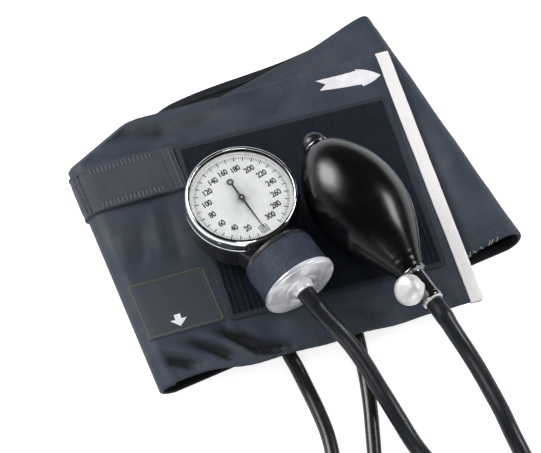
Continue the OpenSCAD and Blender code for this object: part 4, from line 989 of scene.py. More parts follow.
# Turned parts: a profile of (radius, height) spun about an axis, with its corners eased
def eased(profile, radius, steps=4):
    # every corner becomes a quadratic curve that starts and ends at most radius away
    p = np.array(profile, float)
    made = [p[0]]
    for before, corner, after in zip(p[:-2], p[1:-1], p[2:]):
        a, b = before - corner, after - corner
        la, lb = np.linalg.norm(a), np.linalg.norm(b)
        r = min(radius, 0.45 * la, 0.45 * lb)
        s = np.linspace(0, 1, steps)[:, None]
        start, stop = corner + a / la * r, corner + b / lb * r
        made.extend((1 - s) ** 2 * start + 2 * s * (1 - s) * corner + s ** 2 * stop)
    made.append(p[-1])
    return np.array(made)


def lathe(name, profile, toRoll, look, node=None, sides=144, ring=False, ripple=None,
          body="cuff_and_gauge"):
    # rings of the profile about the axis; poles at radius nought; ripple(angle, r, z) adds to r
    p = np.array(profile, float)
    poleLow, poleHigh = (not ring) and p[0, 0] < 1e-6, (not ring) and p[-1, 0] < 1e-6
    rings = p[(1 if poleLow else 0):(len(p) - 1 if poleHigh else len(p))]
    angle = np.arange(sides) * 2 * math.pi / sides
    aa, rr = np.meshgrid(angle, rings[:, 0])
    zz = np.broadcast_to(rings[:, 1][:, None], rr.shape)
    if ripple is not None:
        rr = rr + ripple(aa, rr, zz)
    local = np.stack([rr * np.cos(aa), rr * np.sin(aa), zz], -1).reshape(-1, 3)
    groups, poles = [gridFaces(len(rings), sides, closeRows=ring, closeColumns=True)], []
    if poleLow:
        groups.append(fan(len(local), 0, sides))
        poles.append([0, 0, p[0, 1]])
    if poleHigh:
        groups.append(fan(len(local) + len(poles), len(local) - sides, sides, turned=True))
        poles.append([0, 0, p[-1, 1]])
    points = toRoll(np.vstack([local, *poles])) + rollShift
    return fitOut(meshFrom(name, points, outward(points, groups), body), look, node)


def turnedRing(name, outline, ease, toRoll, look, node, sides, lift=0.0, ripple=None):
    # a closed outline, its corners eased, lifted along the axis and spun
    closed = np.array([*outline, outline[0]], float) + [0, lift]
    lathe(name, eased(closed, ease)[:-1], toRoll, look, node, sides, ring=True, ripple=ripple)


def arcPoints(start, stop, step, place):
    # profile points place(angle) at even steps of degrees
    return [place(a) for a in np.radians(np.arange(start, stop, step))]


def inGauge(p):
    return gaugePoint(p[:, 0], p[:, 1], p[:, 2])


def alongDrum(p):
    # the drum's axis leaves the gauge towards 6 o'clock
    return gaugePoint(p[:, 0], -p[:, 2], gaugeAxisZ + p[:, 1])


# Case: a cup with a rounded bottom, a block towards the drum, and the flange the drum sits against
caseR, collarR, boreR, collarTop = (gauge[key] for key in ("caseR", "collarR", "boreR", "collarTop"))
drumBack, drumFront, dialZ = gauge["drumBack"], gauge["drumFront"], gauge["dialZ"]
cupHeight, seatHeight = collarTop - gauge["caseZ"], gauge["seatZ"] - gauge["caseZ"]
cup = [[0, 0], *arcPoints(0, 91, 9, lambda a: [caseR - 3 + 3 * math.sin(a), 3 - 3 * math.cos(a)]),
       [caseR, 16.4], [caseR + 0.15, 16.8], [collarR, 18.6], [collarR, cupHeight], [boreR, cupHeight],
       [boreR, seatHeight], [23.5, seatHeight], [23.5, 1.5], [0, 1.5]]
cup = np.array(cup) + [0, gauge["caseZ"]]
lathe("caseCup", np.vstack([cup[:1], eased(cup[1:-1], 0.3), cup[-1:]]), inGauge, "casePaint",
      "gauge_case", 160)
flange = np.array([[0, -2.8], [16.55, -2.8], [17.35, -2.0], [17.35, 0], [16.45, 0], [16.45, 2], [0, 2]])
lathe("caseFlange", eased(flange + [0, drumBack], 0.25), alongDrum, "casePaint", "gauge_case",
      128)
neck = {"start": 20.5, "stop": 30.0, "halfX": 13.6, "flare": 1.6, "shoulder": 0.9, "power": 0.4, "sides": 72,
        "rows": 24, "above": 1.0, "below": 0.1}


def makeNeck():
    # cross-section |x|^5 + |z|^5 = 1, scaled to halfX and halfZ, flaring into the cup and at the flange
    angle = np.arange(neck["sides"]) * 2 * math.pi / neck["sides"]
    uu, aa = np.meshgrid(np.linspace(0, 1, neck["rows"]), angle, indexing="ij")
    halfX = neck["halfX"] + neck["flare"] * (1 - smooth(uu / 0.6)) + neck["shoulder"] \
        * smooth((uu - 0.75) / 0.25)
    low, high = gauge["caseZ"] + neck["above"], gauge["bezelZ"] - neck["below"]
    x, z = (np.sign(wave) * np.abs(wave) ** neck["power"] for wave in (np.cos(aa), np.sin(aa)))
    z = (low + high) / 2 + (high - low) / 2 * z
    points = gaugePoint(halfX * x, -mix(neck["start"], neck["stop"], uu), z).reshape(-1, 3)
    ends = gaugePoint(np.zeros(2), -np.array([neck["start"], neck["stop"]]), np.full(2, (low + high) / 2))
    n, total = neck["sides"], len(points)
    groups = [gridFaces(neck["rows"], n, closeColumns=True), fan(total, 0, n),
              fan(total + 1, total - n, n, turned=True)]
    points = np.vstack([points, ends]) + rollShift
    fitOut(meshFrom("caseNeck", points, outward(points, groups)), "casePaint", "gauge_case")


makeNeck()

# Drum: a thin tube with rolled edges, painted in a fine crackle
drum = [[17.15, drumBack], [17.75, drumBack + 0.5], [17.75, drumBack + 1.2], [17.62, drumBack + 1.5],
        [17.62, drumFront - 0.4], [17.5, drumFront], [16.5, drumFront], [16.5, drumBack]]
turnedRing("bellowsDrum", drum, 0.25, alongDrum, "drumPaint", "bellows_drum", 160,
           ripple=lambda a, r, z: 0.02 * np.sin(a * 37) * np.sin(z * 5))

# End cap: domed rim, a dished face with a raised ring round the hose's boss, three barbs inside the hose
cap = [[0, -2], [16.45, -2], [16.45, 0], [17.9, 0], [18.5, 0.7],
       *arcPoints(0, 91, 10, lambda a: [16.9 + 1.6 * math.cos(a), 1.4 + 1.6 * math.sin(a)]),
       [15.0, 3.25], [12.5, 3.6], [10.4, 3.75], [9.2, 3.3], [8.4, 2.2], [8.0, 3.0], [7.2, 3.25], [6.6, 2.6],
       [5.7, 2.4], [5.6, 5.4], [4.8, 6.2], [2.9, 6.2], [2.2, 6.2], [2.9, 7.0], [2.2, 9.86], [2.3, 10.7],
       [2.9, 11.0], [2.2, 13.5], [2.3, 14.3], [2.9, 14.6], [2.2, 17.2], [1.3, 17.2], [1.3, 6.0], [0, 6.0]]
lathe("drumEndCap", eased(np.array(cap) + [0, drumFront], 0.35, 5), alongDrum, "capMetal",
      "drum_end_cap", 160)

# Bezel: rolled lower bead, upright band, rounded shoulder and an inner lip over the glass
bezel = [[collarR + 0.03, 0.0], [26.55, 0.0], [27.1, 0.35], [27.15, 0.8], [26.95, 1.25], [26.9, 1.5],
         [27.15, 1.9],
         *arcPoints(4, 88, 6, lambda a: [25.0 + 2.15 * math.cos(a) ** 0.85, 2.6 + 5.4 * math.sin(a)]),
         [25.0, 8.0], [24.75, 7.75], [24.75, 7.05], [collarR + 0.03, 7.0]]
turnedRing("bezel", bezel, 0.2, inGauge, "chrome", "bezel", 192, lift=gauge["bezelZ"])

# Glass, its gasket, the sloped ring round the dial, and the dial
gasketT = 0.8
glass = np.array([[0, 0], [25.8, 0], [25.95, 0.15], [25.95, 1.4], [25.75, 1.6], [0, 1.6]])
lathe("crystal", eased(glass + [0, collarTop + gasketT], 0.1), inGauge, "glass", "crystal", 128)
turnedRing("crystalGasket", [[24.4, 0], [26.0, 0], [26.0, gasketT], [24.4, gasketT]], 0.15, inGauge,
           "sealRubber", "crystal_gasket", 128, lift=collarTop)
turnedRing("dialRing", [[23.5, dialZ], [24.5, dialZ], [24.5, collarTop], [24.1, collarTop]], 0.06, inGauge,
           "dialEnamel", "dial_ring", 160)
turnedRing("dial", [[1.1, 0], [24.4, 0], [24.5, -0.1], [24.5, -0.5], [1.1, -0.5]], 0.06, inGauge,
           "dialEnamel", "dial", 128, lift=dialZ)

# Scale: 0 at the bottom, clockwise, 22.5 degrees for each 20; ticks each 2, long ones each 10
dialScale = {"degreesPerUnit": 1.125, "first": 8, "last": 300, "inkT": 0.05, "outer": 22.4,
             "longInner": 20.2, "shortInner": 21.2, "widths": {20: 0.5, 10: 0.42, 2: 0.19},
             "numberSize": 4.1, "numberSpace": 0.94, "numberBold": 0.15, "numberSquash": (0.84, 1.0),
             "numberRadius": 16.2, "numberT": 0.02, "hatchX": (-1.95, -0.65, 0.65, 1.95),
             "hatchR": (17.2, 18.2, 19.2, 20.2, 21.1), "hatchLine": 0.26, "hatchWidth": 4.16,
             "hatchOuter": 21.3}


def scaleAngle(value):
    return 180 + dialScale["degreesPerUnit"] * value


def tickAt(value):
    # one tick as boxesOnDial takes it: longer each 10, broader each 20
    width = next(width for each, width in dialScale["widths"].items() if value % each == 0)
    return dialScale["longInner" if value % 10 == 0 else "shortInner"], dialScale["outer"], width, \
        scaleAngle(value), 0


def boxesOnDial(name, boxes):
    # flat printed bars: (radius inside, radius outside, width, angle in degrees, sideways shift)
    low, high, wide, angle, aside = np.array(boxes, float).T[:, :, None]
    s, c = np.sin(np.radians(angle)), np.cos(np.radians(angle))
    corner = np.array([[-1, 0], [1, 0], [1, 1], [-1, 1]])
    x, y = corner[:, 0] * wide / 2 + aside, mix(low, high, corner[:, 1])
    levels = [np.stack([x * c + y * s, y * c - x * s, np.full_like(x, dialZ + z)], -1)
              for z in (0, dialScale["inkT"])]
    points = inGauge(np.stack(levels, 1).reshape(-1, 3)) + rollShift
    faces = np.array([[4, 5, 6, 7], [0, 3, 2, 1], [0, 1, 5, 4], [1, 2, 6, 5], [2, 3, 7, 6], [3, 0, 4, 7]])
    faces = (np.arange(len(boxes))[:, None, None] * 8 + faces).reshape(-1, 4)
    fitOut(meshFrom(name, points, outward(points, [faces]), smoothShade=False), "dialInk")


boxesOnDial("dialTicks", [tickAt(value) for value in range(dialScale["first"], dialScale["last"] + 1, 2)])
r0, line = dialScale["hatchR"][0], dialScale["hatchLine"]
boxesOnDial("dialZeroBox", [(r0, dialScale["hatchOuter"], line, 180, x) for x in dialScale["hatchX"]]
            + [(r, r + line, dialScale["hatchWidth"], 180, 0) for r in dialScale["hatchR"]])


def numberMesh(value):
    # one numeral as points and triangles, from a font curve that is then removed
    curve = bpy.data.curves.new("number", "FONT")
    curve.body, curve.size, curve.extrude = str(value), dialScale["numberSize"], dialScale["numberT"]
    curve.offset, curve.resolution_u, curve.space_character = dialScale["numberBold"], 4, \
        dialScale["numberSpace"]
    curve.align_x, curve.align_y = "CENTER", "CENTER"
    holder = bpy.data.objects.new("number", curve)
    bpy.context.scene.collection.objects.link(holder)
    bpy.context.view_layer.update()
    mesh = bpy.data.meshes.new_from_object(holder.evaluated_get(bpy.context.evaluated_depsgraph_get()))
    mesh.calc_loop_triangles()
    points, triangles = np.zeros(len(mesh.vertices) * 3), np.zeros(len(mesh.loop_triangles) * 3, int)
    mesh.vertices.foreach_get("co", points)
    mesh.loop_triangles.foreach_get("vertices", triangles)
    bpy.data.objects.remove(holder)
    bpy.data.curves.remove(curve)
    bpy.data.meshes.remove(mesh)
    return points.reshape(-1, 3), triangles.reshape(-1, 3)


def makeDialNumbers():
    # upright numerals, each centred on its place, laid as one piece
    allPoints, allTriangles, count = [], [], 0
    for value in range(20, dialScale["last"] + 1, 20):
        points, triangles = numberMesh(value)
        middle = (points[:, :2].min(0) + points[:, :2].max(0)) / 2
        angle = math.radians(scaleAngle(value))
        place = dialScale["numberRadius"] * np.array([math.sin(angle), math.cos(angle)])
        flat = (points[:, :2] - middle) * dialScale["numberSquash"] + place
        allPoints.append(np.column_stack([flat, dialZ + dialScale["numberT"] + points[:, 2]]))
        allTriangles.append(triangles + count)
        count += len(points)
    points = inGauge(np.vstack(allPoints)) + rollShift
    fitOut(meshFrom("dialNumbers", points, np.vstack(allTriangles), smoothShade=False), "dialInk")


makeDialNumbers()

# Hairspring: a flat ribbon wound out from its collet, which clears the turning arbor
hairspring = {"startRadius": 1.45, "pitch": 0.85, "turns": 5, "steps": 420, "thickness": 0.14, "height": 0.5,
              "section": [(-1, -0.86), (-0.7, -1), (0.7, -1), (1, -0.86), (1, 0.86), (0.7, 1), (-0.7, 1),
                          (-1, 0.86)],
              "collet": [(0.80, -0.55), (1.45, -0.55), (1.5, -0.5), (1.5, 0.5), (1.45, 0.55), (0.80, 0.55)]}


def makeHairspring():
    # radius startRadius + pitch × turns; the section is a rectangle with eased corners
    low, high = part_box("hairspring")
    middle = (low[2] + high[2]) / 2 / mm - rollShift[2]
    turn = np.linspace(0, 2 * math.pi * hairspring["turns"], hairspring["steps"])[:, None]
    wide, tall = np.array(hairspring["section"]).T
    radius = hairspring["startRadius"] + hairspring["pitch"] * turn / (2 * math.pi) \
        + wide * hairspring["thickness"] / 2
    height = np.broadcast_to(middle + tall * hairspring["height"] / 2, radius.shape)
    local = np.stack([radius * np.cos(turn), radius * np.sin(turn), height], -1).reshape(-1, 3)
    n, m = radius.shape
    ends = [np.arange(m)[::-1][None], (n - 1) * m + np.arange(m)[None]]
    points = inGauge(local) + rollShift
    obj = meshFrom("spiralSpring", points, outward(points, [gridFaces(n, m, closeColumns=True), *ends]))
    fitOut(obj, "bluedSteel", "hairspring")
    lathe("springCollet", np.array(hairspring["collet"]) + (0, middle), inGauge, "brass", sides=64,
          ring=True)


makeHairspring()
print("stage: gauge turned")


# Bulb and release valve, in the bulb's own frame: z along its axis from the inlet end
bulbWall = {"mouth": 6.4, "neck": 6.6, "bore": 3.65, "thickness": 2.6, "rings": 0.07, "ringPitch": 3.0,
            "seam": 0.09, "oval": 0.10, "lipStart": [[3.7, 0.5], [4.4, -0.25], [5.4, -0.35], [6.1, 0.0]],
            "lipEnd": [[6.7, -0.35], [6.4, -0.02], [5.2, 0.0], [3.7, -0.3]]}


def inBulb(p):
    return bulbStart + p[:, 2:3] * bulbWay - p[:, 0:1] * bulbUp + p[:, 1:2] * bulbSide


def bulbRadius(z):
    # pear: a rising half sine raised to powers, then a falling half cosine into the neck
    length, half, mouth, neckR = bulb["length"], bulb["diameter"] / 2, bulbWall["mouth"], bulbWall["neck"]
    up = mouth + (half - mouth) * np.sin(math.pi / 2 * np.clip(z / bellyAt, 0, 1) ** 0.8) ** 0.86
    s = np.clip((z - bellyAt) / (length - bellyAt), 0, 1)
    down = neckR + (half - neckR) * np.maximum(np.cos(math.pi / 2 * s ** 1.15), 0) ** 1.2
    return np.where(z < bellyAt, up, down)


def bulbRipple(a, r, z):
    # a hair-fine mould seam along two sides, and a belly a little out of round
    fine = bell(np.abs(np.sin(a - math.pi / 2)) * r, 0.35)
    oval = np.sin(2 * a + 0.4) * smooth((r - 12) / 8)
    return bulbWall["seam"] * fine * smooth((r - 5) / 2) + bulbWall["oval"] * oval


def makeBulb():
    # rolled lips round both mouths, a ringed neck, and the hollow inside
    length, bore = bulb["length"], bulbWall["bore"]
    z = np.concatenate([bellyAt * (1 - np.cos(np.linspace(0, math.pi / 2, 46))),
                        np.linspace(bellyAt, length, 64)[1:]])
    rings = smooth((z - (length - 9)) / 3) * np.cos((z - length) * 2 * math.pi / bulbWall["ringPitch"])
    outer = np.column_stack([bulbRadius(z) + bulbWall["rings"] * rings, z])[1:-1]
    back = np.linspace(length - 7, 6, 30)
    inner = np.column_stack([np.maximum(bore, bulbRadius(back) - bulbWall["thickness"]), back])
    profile = np.vstack([bulbWall["lipStart"], outer, np.array(bulbWall["lipEnd"]) + [0, length],
                         [bore, length - 5], inner, [bore, 4]])
    lathe("inflationBulb", profile, inBulb, "bulbRubber", "inflation_bulb", 192, ring=True,
          ripple=bulbRipple)


makeBulb()

# Inlet valve: a rounded black head over a dark plated collar, with a hole in its end
head = [[0.9, -6.5], [0.95, -8.0], [1.6, -8.25],
        *arcPoints(22, 91, 6, lambda a: [6.0 * math.sin(a), -2.6 - 5.7 * math.cos(a)]),
        [6.0, -1.9], [5.75, -1.3], [5.0, -1.1], [5.0, -0.3], [3.6, -0.2], [3.6, 9.0], [3.0, 9.6], [0.9, 9.6]]
turnedRing("inletValveBody", head, 0.3, inBulb, "pointerBlack", "inlet_valve_body", 96)
inletCollar = [[5.0, -1.7], [6.35, -1.7], [6.75, -1.2], [6.75, -0.5], [6.3, -0.1], [5.0, -0.1]]
turnedRing("inletCollar", inletCollar, 0.25, inBulb, "darkNickel", "inlet_valve_body", 96)

# Release valve body: a turned stem with a shoulder, a waist and a collar where the hose starts
stem = [[1.35, -10], [3.0, -10], [3.6, -9.2], [3.6, 0.05], [6.75, 0.05], [6.85, 0.5], [6.85, 1.2],
        [6.4, 1.5], [5.3, 2.1], [5.15, 2.6], [5.15, 14.4], [5.4, 14.8], [5.4, 16.4], [5.0, 17.0],
        [4.3, 18.0], [3.9, 18.4], [2.2, 18.4], [2.9, 19.4], [2.2, 22.0], [2.9, 23.0], [2.2, 25.7],
        [2.9, 26.6], [2.2, 29.4], [1.35, 29.4]]
turnedRing("valveBody", stem, 0.22, inBulb, "darkNickel", "valve_body", 112,
           lift=bulb["length"])
hoseCollar = [[4.2, 16.9], [4.9, 16.9], [5.12, 17.15], [5.12, 17.6], [4.85, 17.9], [4.2, 17.9]]
turnedRing("valveCollar", hoseCollar, 0.2, inBulb, "satinNickel", "valve_body", 96,
           lift=bulb["length"])

# The side port and the thumb screw stand square to the axis
thumb = {"turn": math.radians(-130), "fromNeck": 9.5, "knurls": 15, "knurlLean": 2.2, "knurlDepth": 0.16}


def alongScrew(p):
    # the screw's axis is local x turned about the bulb's axis
    c, s = math.cos(thumb["turn"]), math.sin(thumb["turn"])
    x, y, z = p[:, 2], p[:, 1], bulb["length"] + thumb["fromNeck"] - p[:, 0]
    return inBulb(np.stack([x * c - y * s, x * s + y * c, z], 1))


def knurl(a, r, z):
    # fine diamond knurling on the band under the dome: the deeper of two crossing spirals
    band = smooth((z - 8.9) / 0.4) * smooth((11.6 - z) / 0.4) * smooth((r - 6.9) / 0.3)
    spirals = (np.abs(np.sin(thumb["knurls"] * a + way * thumb["knurlLean"] * z)) for way in (1, -1))
    return -thumb["knurlDepth"] * band * np.maximum(*spirals) ** 2


port = [[2.05, 1.6], [3.8, 1.6], [3.8, 6.4], [3.6, 7.1], [3.2, 7.45], [2.7, 7.45], [2.7, 5.85], [2.05, 5.85]]
turnedRing("valvePort", port, 0.2, alongScrew, "satinNickel", "valve_body", 80)
screw = [[0, 2.65], [1.95, 2.65], [1.95, 8.1], [5.3, 8.15], [6.9, 9.2], [7.25, 9.7],
         *([7.3, 8.9 + 0.35 * k] for k in range(3, 9)),
         *arcPoints(0, 90, 5, lambda a: [7.2 * math.cos(a) ** 0.62, 12.0 + 4.15 * math.sin(a)]), [0, 16.15]]
lathe("thumbScrew", eased(screw, 0.25), alongScrew, "satinNickel", "thumb_screw", 120,
      ripple=knurl, body="thumb")

# What stays from the CAD gets materials of its own
stays = {
    "bladder_ports": "bladderRubber", "bellows_capsule": "bronze", "push_rod": "steel",
    "movement_lower_plate": "brass", "movement_upper_plate": "brass", "movement_pillars": "brass",
    "movement_screws": "bluedSteel", "sector_gear": "brass", "pinion_arbor": "steel",
    "hairspring_stud": "brass", "pointer": "pointerBlack", "gauge_clip": "springSteel",
    "clip_rivets": "steel", "inlet_flap": "sealRubber", "inlet_screen": "steel", "outlet_flap": "sealRubber",
    "seat_pad": "fibre", "packing_ring": "sealRubber", "gauge_line_connector": "plastic",
    "bulb_line_connector": "plastic",
}
for nodeName, lookName in stays.items():
    fitOut(nodes[nodeName], lookName)
for airLine, lookName in ((gaugeHose, "hoseRubber"), (bulbHose, "hoseRubber"), (gaugeTube, "tubeRubber"),
                          (bulbTube, "tubeRubber")):
    fitOut(airLine, lookName)
print("stage: bulb and valve turned")


# Inner layers: the bladder, the loop pad and the binding of the free end
def evenRuns(stops, counts):
    # even steps from each stop to the next, each stop once
    runs = [np.linspace(a, b, n)[:-1] for a, b, n in zip(stops[:-1], stops[1:], counts)]
    return np.concatenate([*runs, [stops[-1]]])


def makeBladder():
    # half thickness × √(1 - (1 - d/rim)²) about the bag's middle surface; a flat weld outside
    t, v = evenRuns((0.2, 0.24, 1, 2, 2.34), (8, 70, 26, 24)), evenRuns((-60, -56, 52, 56), (8, 50, 8))
    tt, vv, runs, nearV, nearT = clothGrid(t, v)
    half = (0.25 + 0.72 * rounded(np.minimum(nearV, nearT) - 1.2, 3, 0))[..., None]
    out = rollOut(tt, vv)
    base = rollPoint(tt, vv) + out * (np.minimum(wrinkle(tt, vv), 0) - 1.68)[..., None]
    obj = closedSkin("airBladder", base + out * half, base - out * half, mapOf(runs, vv))
    fitOut(obj, "bladderRubber", "bladder")


def makeLoopPad():
    # a nap of loops: fine noise on a thin sheet, sewn under the tail
    width = 116
    tt, vv, runs, nearV, nearT = clothGrid(np.linspace(4.42, 4.98, 130), edges(width, 0.4, 0.7))
    near = np.minimum(nearV, nearT)
    nap = 0.5 + 0.1 * noise(runs, vv, 3.1, 12, 2) - 0.18 * bell(near - 1.8, 0.5)
    base, out = rollPoint(tt, vv), rollOut(tt, vv)
    obj = closedSkin("loopPad", base - out * 1.2, base - out * (1.22 + nap * rounded(near, 0.5))[..., None],
                     mapOf(runs, vv))
    fitOut(obj, "loopTape", "loop_pad")


# End binding: (inward, height) round its section, outer wall first
binding = {"v": (-72.75, 72.7), "middle": -0.6, "corner": 1.8, "outline": [
    [5.9, 0.05], [6.05, 0.2], [6.0, 0.45], [5.7, 0.58], [5.2, 0.56], [4.4, 0.52], [3.2, 0.60], [1.8, 0.62],
    [0.6, 0.60], [0.0, 0.5], [-0.38, 0.2], [-0.55, -0.2], [-0.6, -0.6], [-0.55, -1.05], [-0.35, -1.45],
    [0.1, -1.72], [1.0, -1.8], [3.4, -1.8], [5.6, -1.78], [5.95, -1.6], [5.9, -1.3], [4.0, -1.24],
    [0.4, -1.24], [0.1, -1.1], [0.1, -0.1], [0.4, 0.03], [4.0, 0.03]]}


def makeBinding():
    # a U of tape carried along the free end, softly wavy, thin at both ends, one corner rounded
    first, last = binding["v"]
    v = np.concatenate([[first, -72.7, -72.5, -72.1, -71.5], np.linspace(-70.5, 71.0, 150),
                        [71.8, 72.3, 72.6, last]])
    outline, middle = np.array(binding["outline"]), binding["middle"]
    n, m = len(v), len(outline)
    thin = rounded(np.minimum(v - first, last - v), 0.5, 0.12)[:, None]
    corner = binding["corner"] * (1 - rounded(v - first, binding["corner"], 0))
    vv, a = np.meshgrid(v, outline[:, 0], indexing="ij")
    h = np.broadcast_to(outline[:, 1], vv.shape)
    sway = 0.16 * noise(v, 0 * v, 37, 15)[:, None] * (a > 3) + 0.06 * noise(v, 0 * v, 9, 16)[:, None]
    a = np.maximum(a + sway, (corner - 0.6)[:, None] * (a < 3))
    h = middle + (h - middle) * thin + 0.05 * noise(vv, a, 6, 17) * (h > 0.3)
    end, across = endPoint(vv), unit(endPoint(np.array(72.0)) - endPoint(np.array(-72.0)))
    x, y = end[..., 0] - a * across[1], end[..., 1] + a * across[0]
    points = np.stack([x, y, roll["height"] + h], -1).reshape(-1, 3) + rollShift
    # the U's open ends are closed along their own section, outer wall to inner wall
    k = np.arange(m // 2 - 1)
    strip = np.stack([k, k + 1, m - 2 - k, m - 1 - k], 1)
    faces = [gridFaces(n, m, closeColumns=True), strip, (n - 1) * m + strip[:, ::-1]]
    obj = meshFrom("endBinding", points, outward(points, faces), uv=mapOf(vv, a))
    fitOut(obj, "whiteTape", "end_binding")


makeBladder()
makeLoopPad()
makeBinding()


# Threads: short rounded stitches laid in rows on the cloth, all of one row set in one mesh
def rowPlaces(t, v, pitch, lift):
    # even places along a path on the cloth, with the path's direction and the outward normal
    run = runOf(clothPoint(t, v))
    at = np.arange(pitch / 2, run[-1], pitch)
    here, before, after = ((np.interp(s, run, t), np.interp(s, run, v)) for s in (at, at - 0.4, at + 0.4))
    out = rollOut(*here)
    places = clothPoint(*here) + out * np.broadcast_to(lift, at.shape)[..., None]
    return places, unit(clothPoint(*after) - clothPoint(*before)), out


def topPath(points):
    # (t, v) each mm along straight runs between places on the top layer
    p = np.array(points, float)
    run = runOf(p)
    at = np.linspace(0, run[-1], max(2, int(run[-1]) + 1))
    return topPlace(np.interp(at, run, p[:, 0]), np.interp(at, run, p[:, 1]))


def stitches(name, rows, look, size, across=False):
    # rows: (t, v, pitch, lift); each stitch is an ellipsoid along the row, or across it, its ends pulled in
    length, width, height = size
    places, ways, outs = (np.concatenate(q) for q in zip(*[rowPlaces(*row) for row in rows]))
    side = np.cross(outs, ways)
    if across:
        ways, side = side, ways
    u, angle = np.array([-0.86, -0.5, 0.0, 0.5, 0.86])[None, :, None, None], np.arange(6) * math.pi / 3
    c, s = np.cos(angle)[None, None, :, None], np.sin(angle)[None, None, :, None]
    place, way, aside, out = (q[:, None, None] for q in (places, ways, side, outs))
    body = place + u * way * length / 2 - 0.12 * u ** 2 * out \
        + np.sqrt(1 - u ** 2) * (c * aside * width / 2 + s * out * height / 2)
    tips = place[:, 0] + np.array([-1, 1])[None, :, None] * way[:, 0] * length / 2 - 0.12 * out[:, 0]
    points = np.concatenate([body.reshape(len(places), -1, 3), tips], 1)
    one = outward(points[0], [gridFaces(5, 6, closeColumns=True),
                              np.vstack([fan(30, 0, 6), fan(31, 24, 6, True)])])
    base = np.arange(len(places))[:, None, None] * 32
    faces = [(base + group).reshape(-1, group.shape[1]) for group in one]
    fitOut(meshFrom(name, points.reshape(-1, 3) + rollShift, faces), look)


def thread(name, path, lift, width, height, look):
    # one long flattened cord along a path on the cloth, thin at both ends
    p, out = clothPoint(*path), rollOut(*path)
    p = p + out * lift
    side = np.cross(out, unit(np.gradient(p, axis=0)))
    n, angle = len(p), np.arange(8) * math.pi / 4
    taper = np.ones((n, 1, 1))
    taper[[0, -1]] = 0.3
    ring = (np.cos(angle)[None, :, None] * side[:, None] * width / 2
            + np.sin(angle)[None, :, None] * out[:, None] * height / 2) * taper
    points = np.vstack([(p[:, None] + ring).reshape(-1, 3), p[[0, -1]]]) + rollShift
    ends = np.vstack([fan(n * 8, 0, 8), fan(n * 8 + 1, (n - 1) * 8, 8, turned=True)])
    fitOut(meshFrom(name, points, [gridFaces(n, 8, closeColumns=True), ends]), look)


hemV = roll["halfWidth"] - 5.6
hemRuns = (np.linspace(0.06, 1.93, 500), np.linspace(3.06, 4.96, 500))
hemRows = [(s, np.full_like(s, v), 2.9, 0.02) for s in hemRuns for v in (-hemV, hemV)]
stitches("hemStitches", hemRows, "slateThread", (1.9, 0.36, 0.24))
padHalf = (hookPad["length"] / 2 - 1.0, hookPad["width"] / 2 - 1.0)
padRing = np.array([[-1, -1], [1, -1], [1, 1], [-1, 1], [-1, -1]]) * padHalf
padRing = np.stack(turnedPad(*padRing.T), 1) + hookPad["middle"]
stitches("padStitches", [(*topPath(padRing), 2.2, 0.86)], "hemThread", (2.1, 0.5, 0.3))


def labelRing(inset):
    # the label's outline in (t, v), inset in mm
    dt = inset / label["topLength"]
    t0, t1, v0, v1 = labelT[0] + dt, 1.155 - dt * 2, label["v"][0] + inset, label["v"][1] - inset
    along, over = np.linspace(0, 1, 60), np.linspace(0, 1, 45)
    t = np.concatenate([mix(t0, t1, along), np.full(45, t1), mix(t1, t0, along), np.full(45, t0)])
    v = np.concatenate([np.full(60, v1), mix(v1, v0, over), np.full(60, v0), mix(v0, v1, over)])
    return t, v


# Label: border cords in olive, a stitch row outside them, and a plain arrow pointing to the near edge
thread("labelBorder", labelRing(1.15), 0.50, 0.9, 0.2, "oliveThread")
thread("labelBorderInner", labelRing(2.3), 0.52, 0.25, 0.14, "oliveThread")
stitches("labelStitches", [(*labelRing(0.45), 1.9, 0.36)], "darkThread", (1.3, 0.34, 0.24))


def dense(outline):
    # extra points along every side, about 0.6 mm apart
    step = 0.6
    return np.vstack([a + (b - a) * np.linspace(0, 1, max(2, int(np.hypot(*(b - a)) / step) + 1))[:-1, None]
                      for a, b in zip(outline, np.roll(outline, -1, 0))])


def makeLabelArrow():
    # a thin closed patch over a star-shaped outline, in rings about its middle, following the cloth
    low, high, rings = 0.45, 0.56, 8
    outline = dense(np.array(label["arrow"]) + label["arrowPlace"])
    middle, n = outline.mean(0), len(outline)
    grid = middle + (outline - middle)[None] * (np.arange(1, rings + 1) / rings)[:, None, None]
    (base, out), (tip, tipOut) = onTop(grid[..., 0], grid[..., 1]), onTop(middle[:1], middle[1:])
    points = np.vstack([(base + out * high).reshape(-1, 3), base[-1] + out[-1] * low, tip + tipOut * high,
                        tip + tipOut * low]) + rollShift
    k, last = np.arange(n), (rings - 1) * n
    wall = np.stack([last + k, last + (k + 1) % n, last + n + (k + 1) % n, last + n + k], 1)
    quads = np.vstack([gridFaces(rings, n, closeColumns=True), wall])
    tris = np.vstack([fan(last + 2 * n, 0, n), fan(last + 2 * n + 1, last + n, n, turned=True)])
    fitOut(meshFrom("labelArrow", points, outward(points, [quads, tris]), smoothShade=False), "printWhite")


# Index arrow, printed on the cloth: upper and lower edges of its shaft and head, from tail to tip
indexArrow = {"shaftHigh": ([43.4, 61.9], [63.9, 61.5]), "shaftLow": ([43.7, 56.0], [64.5, 53.1]),
              "headHigh": ([63.9, 62.4], [74.7, 55.6]), "headLow": ([64.5, 51.9], [74.7, 55.4]),
              "bowHigh": [0.5, 0.75], "bowLow": [0.25, -0.6], "notch": [4.0, -0.35]}


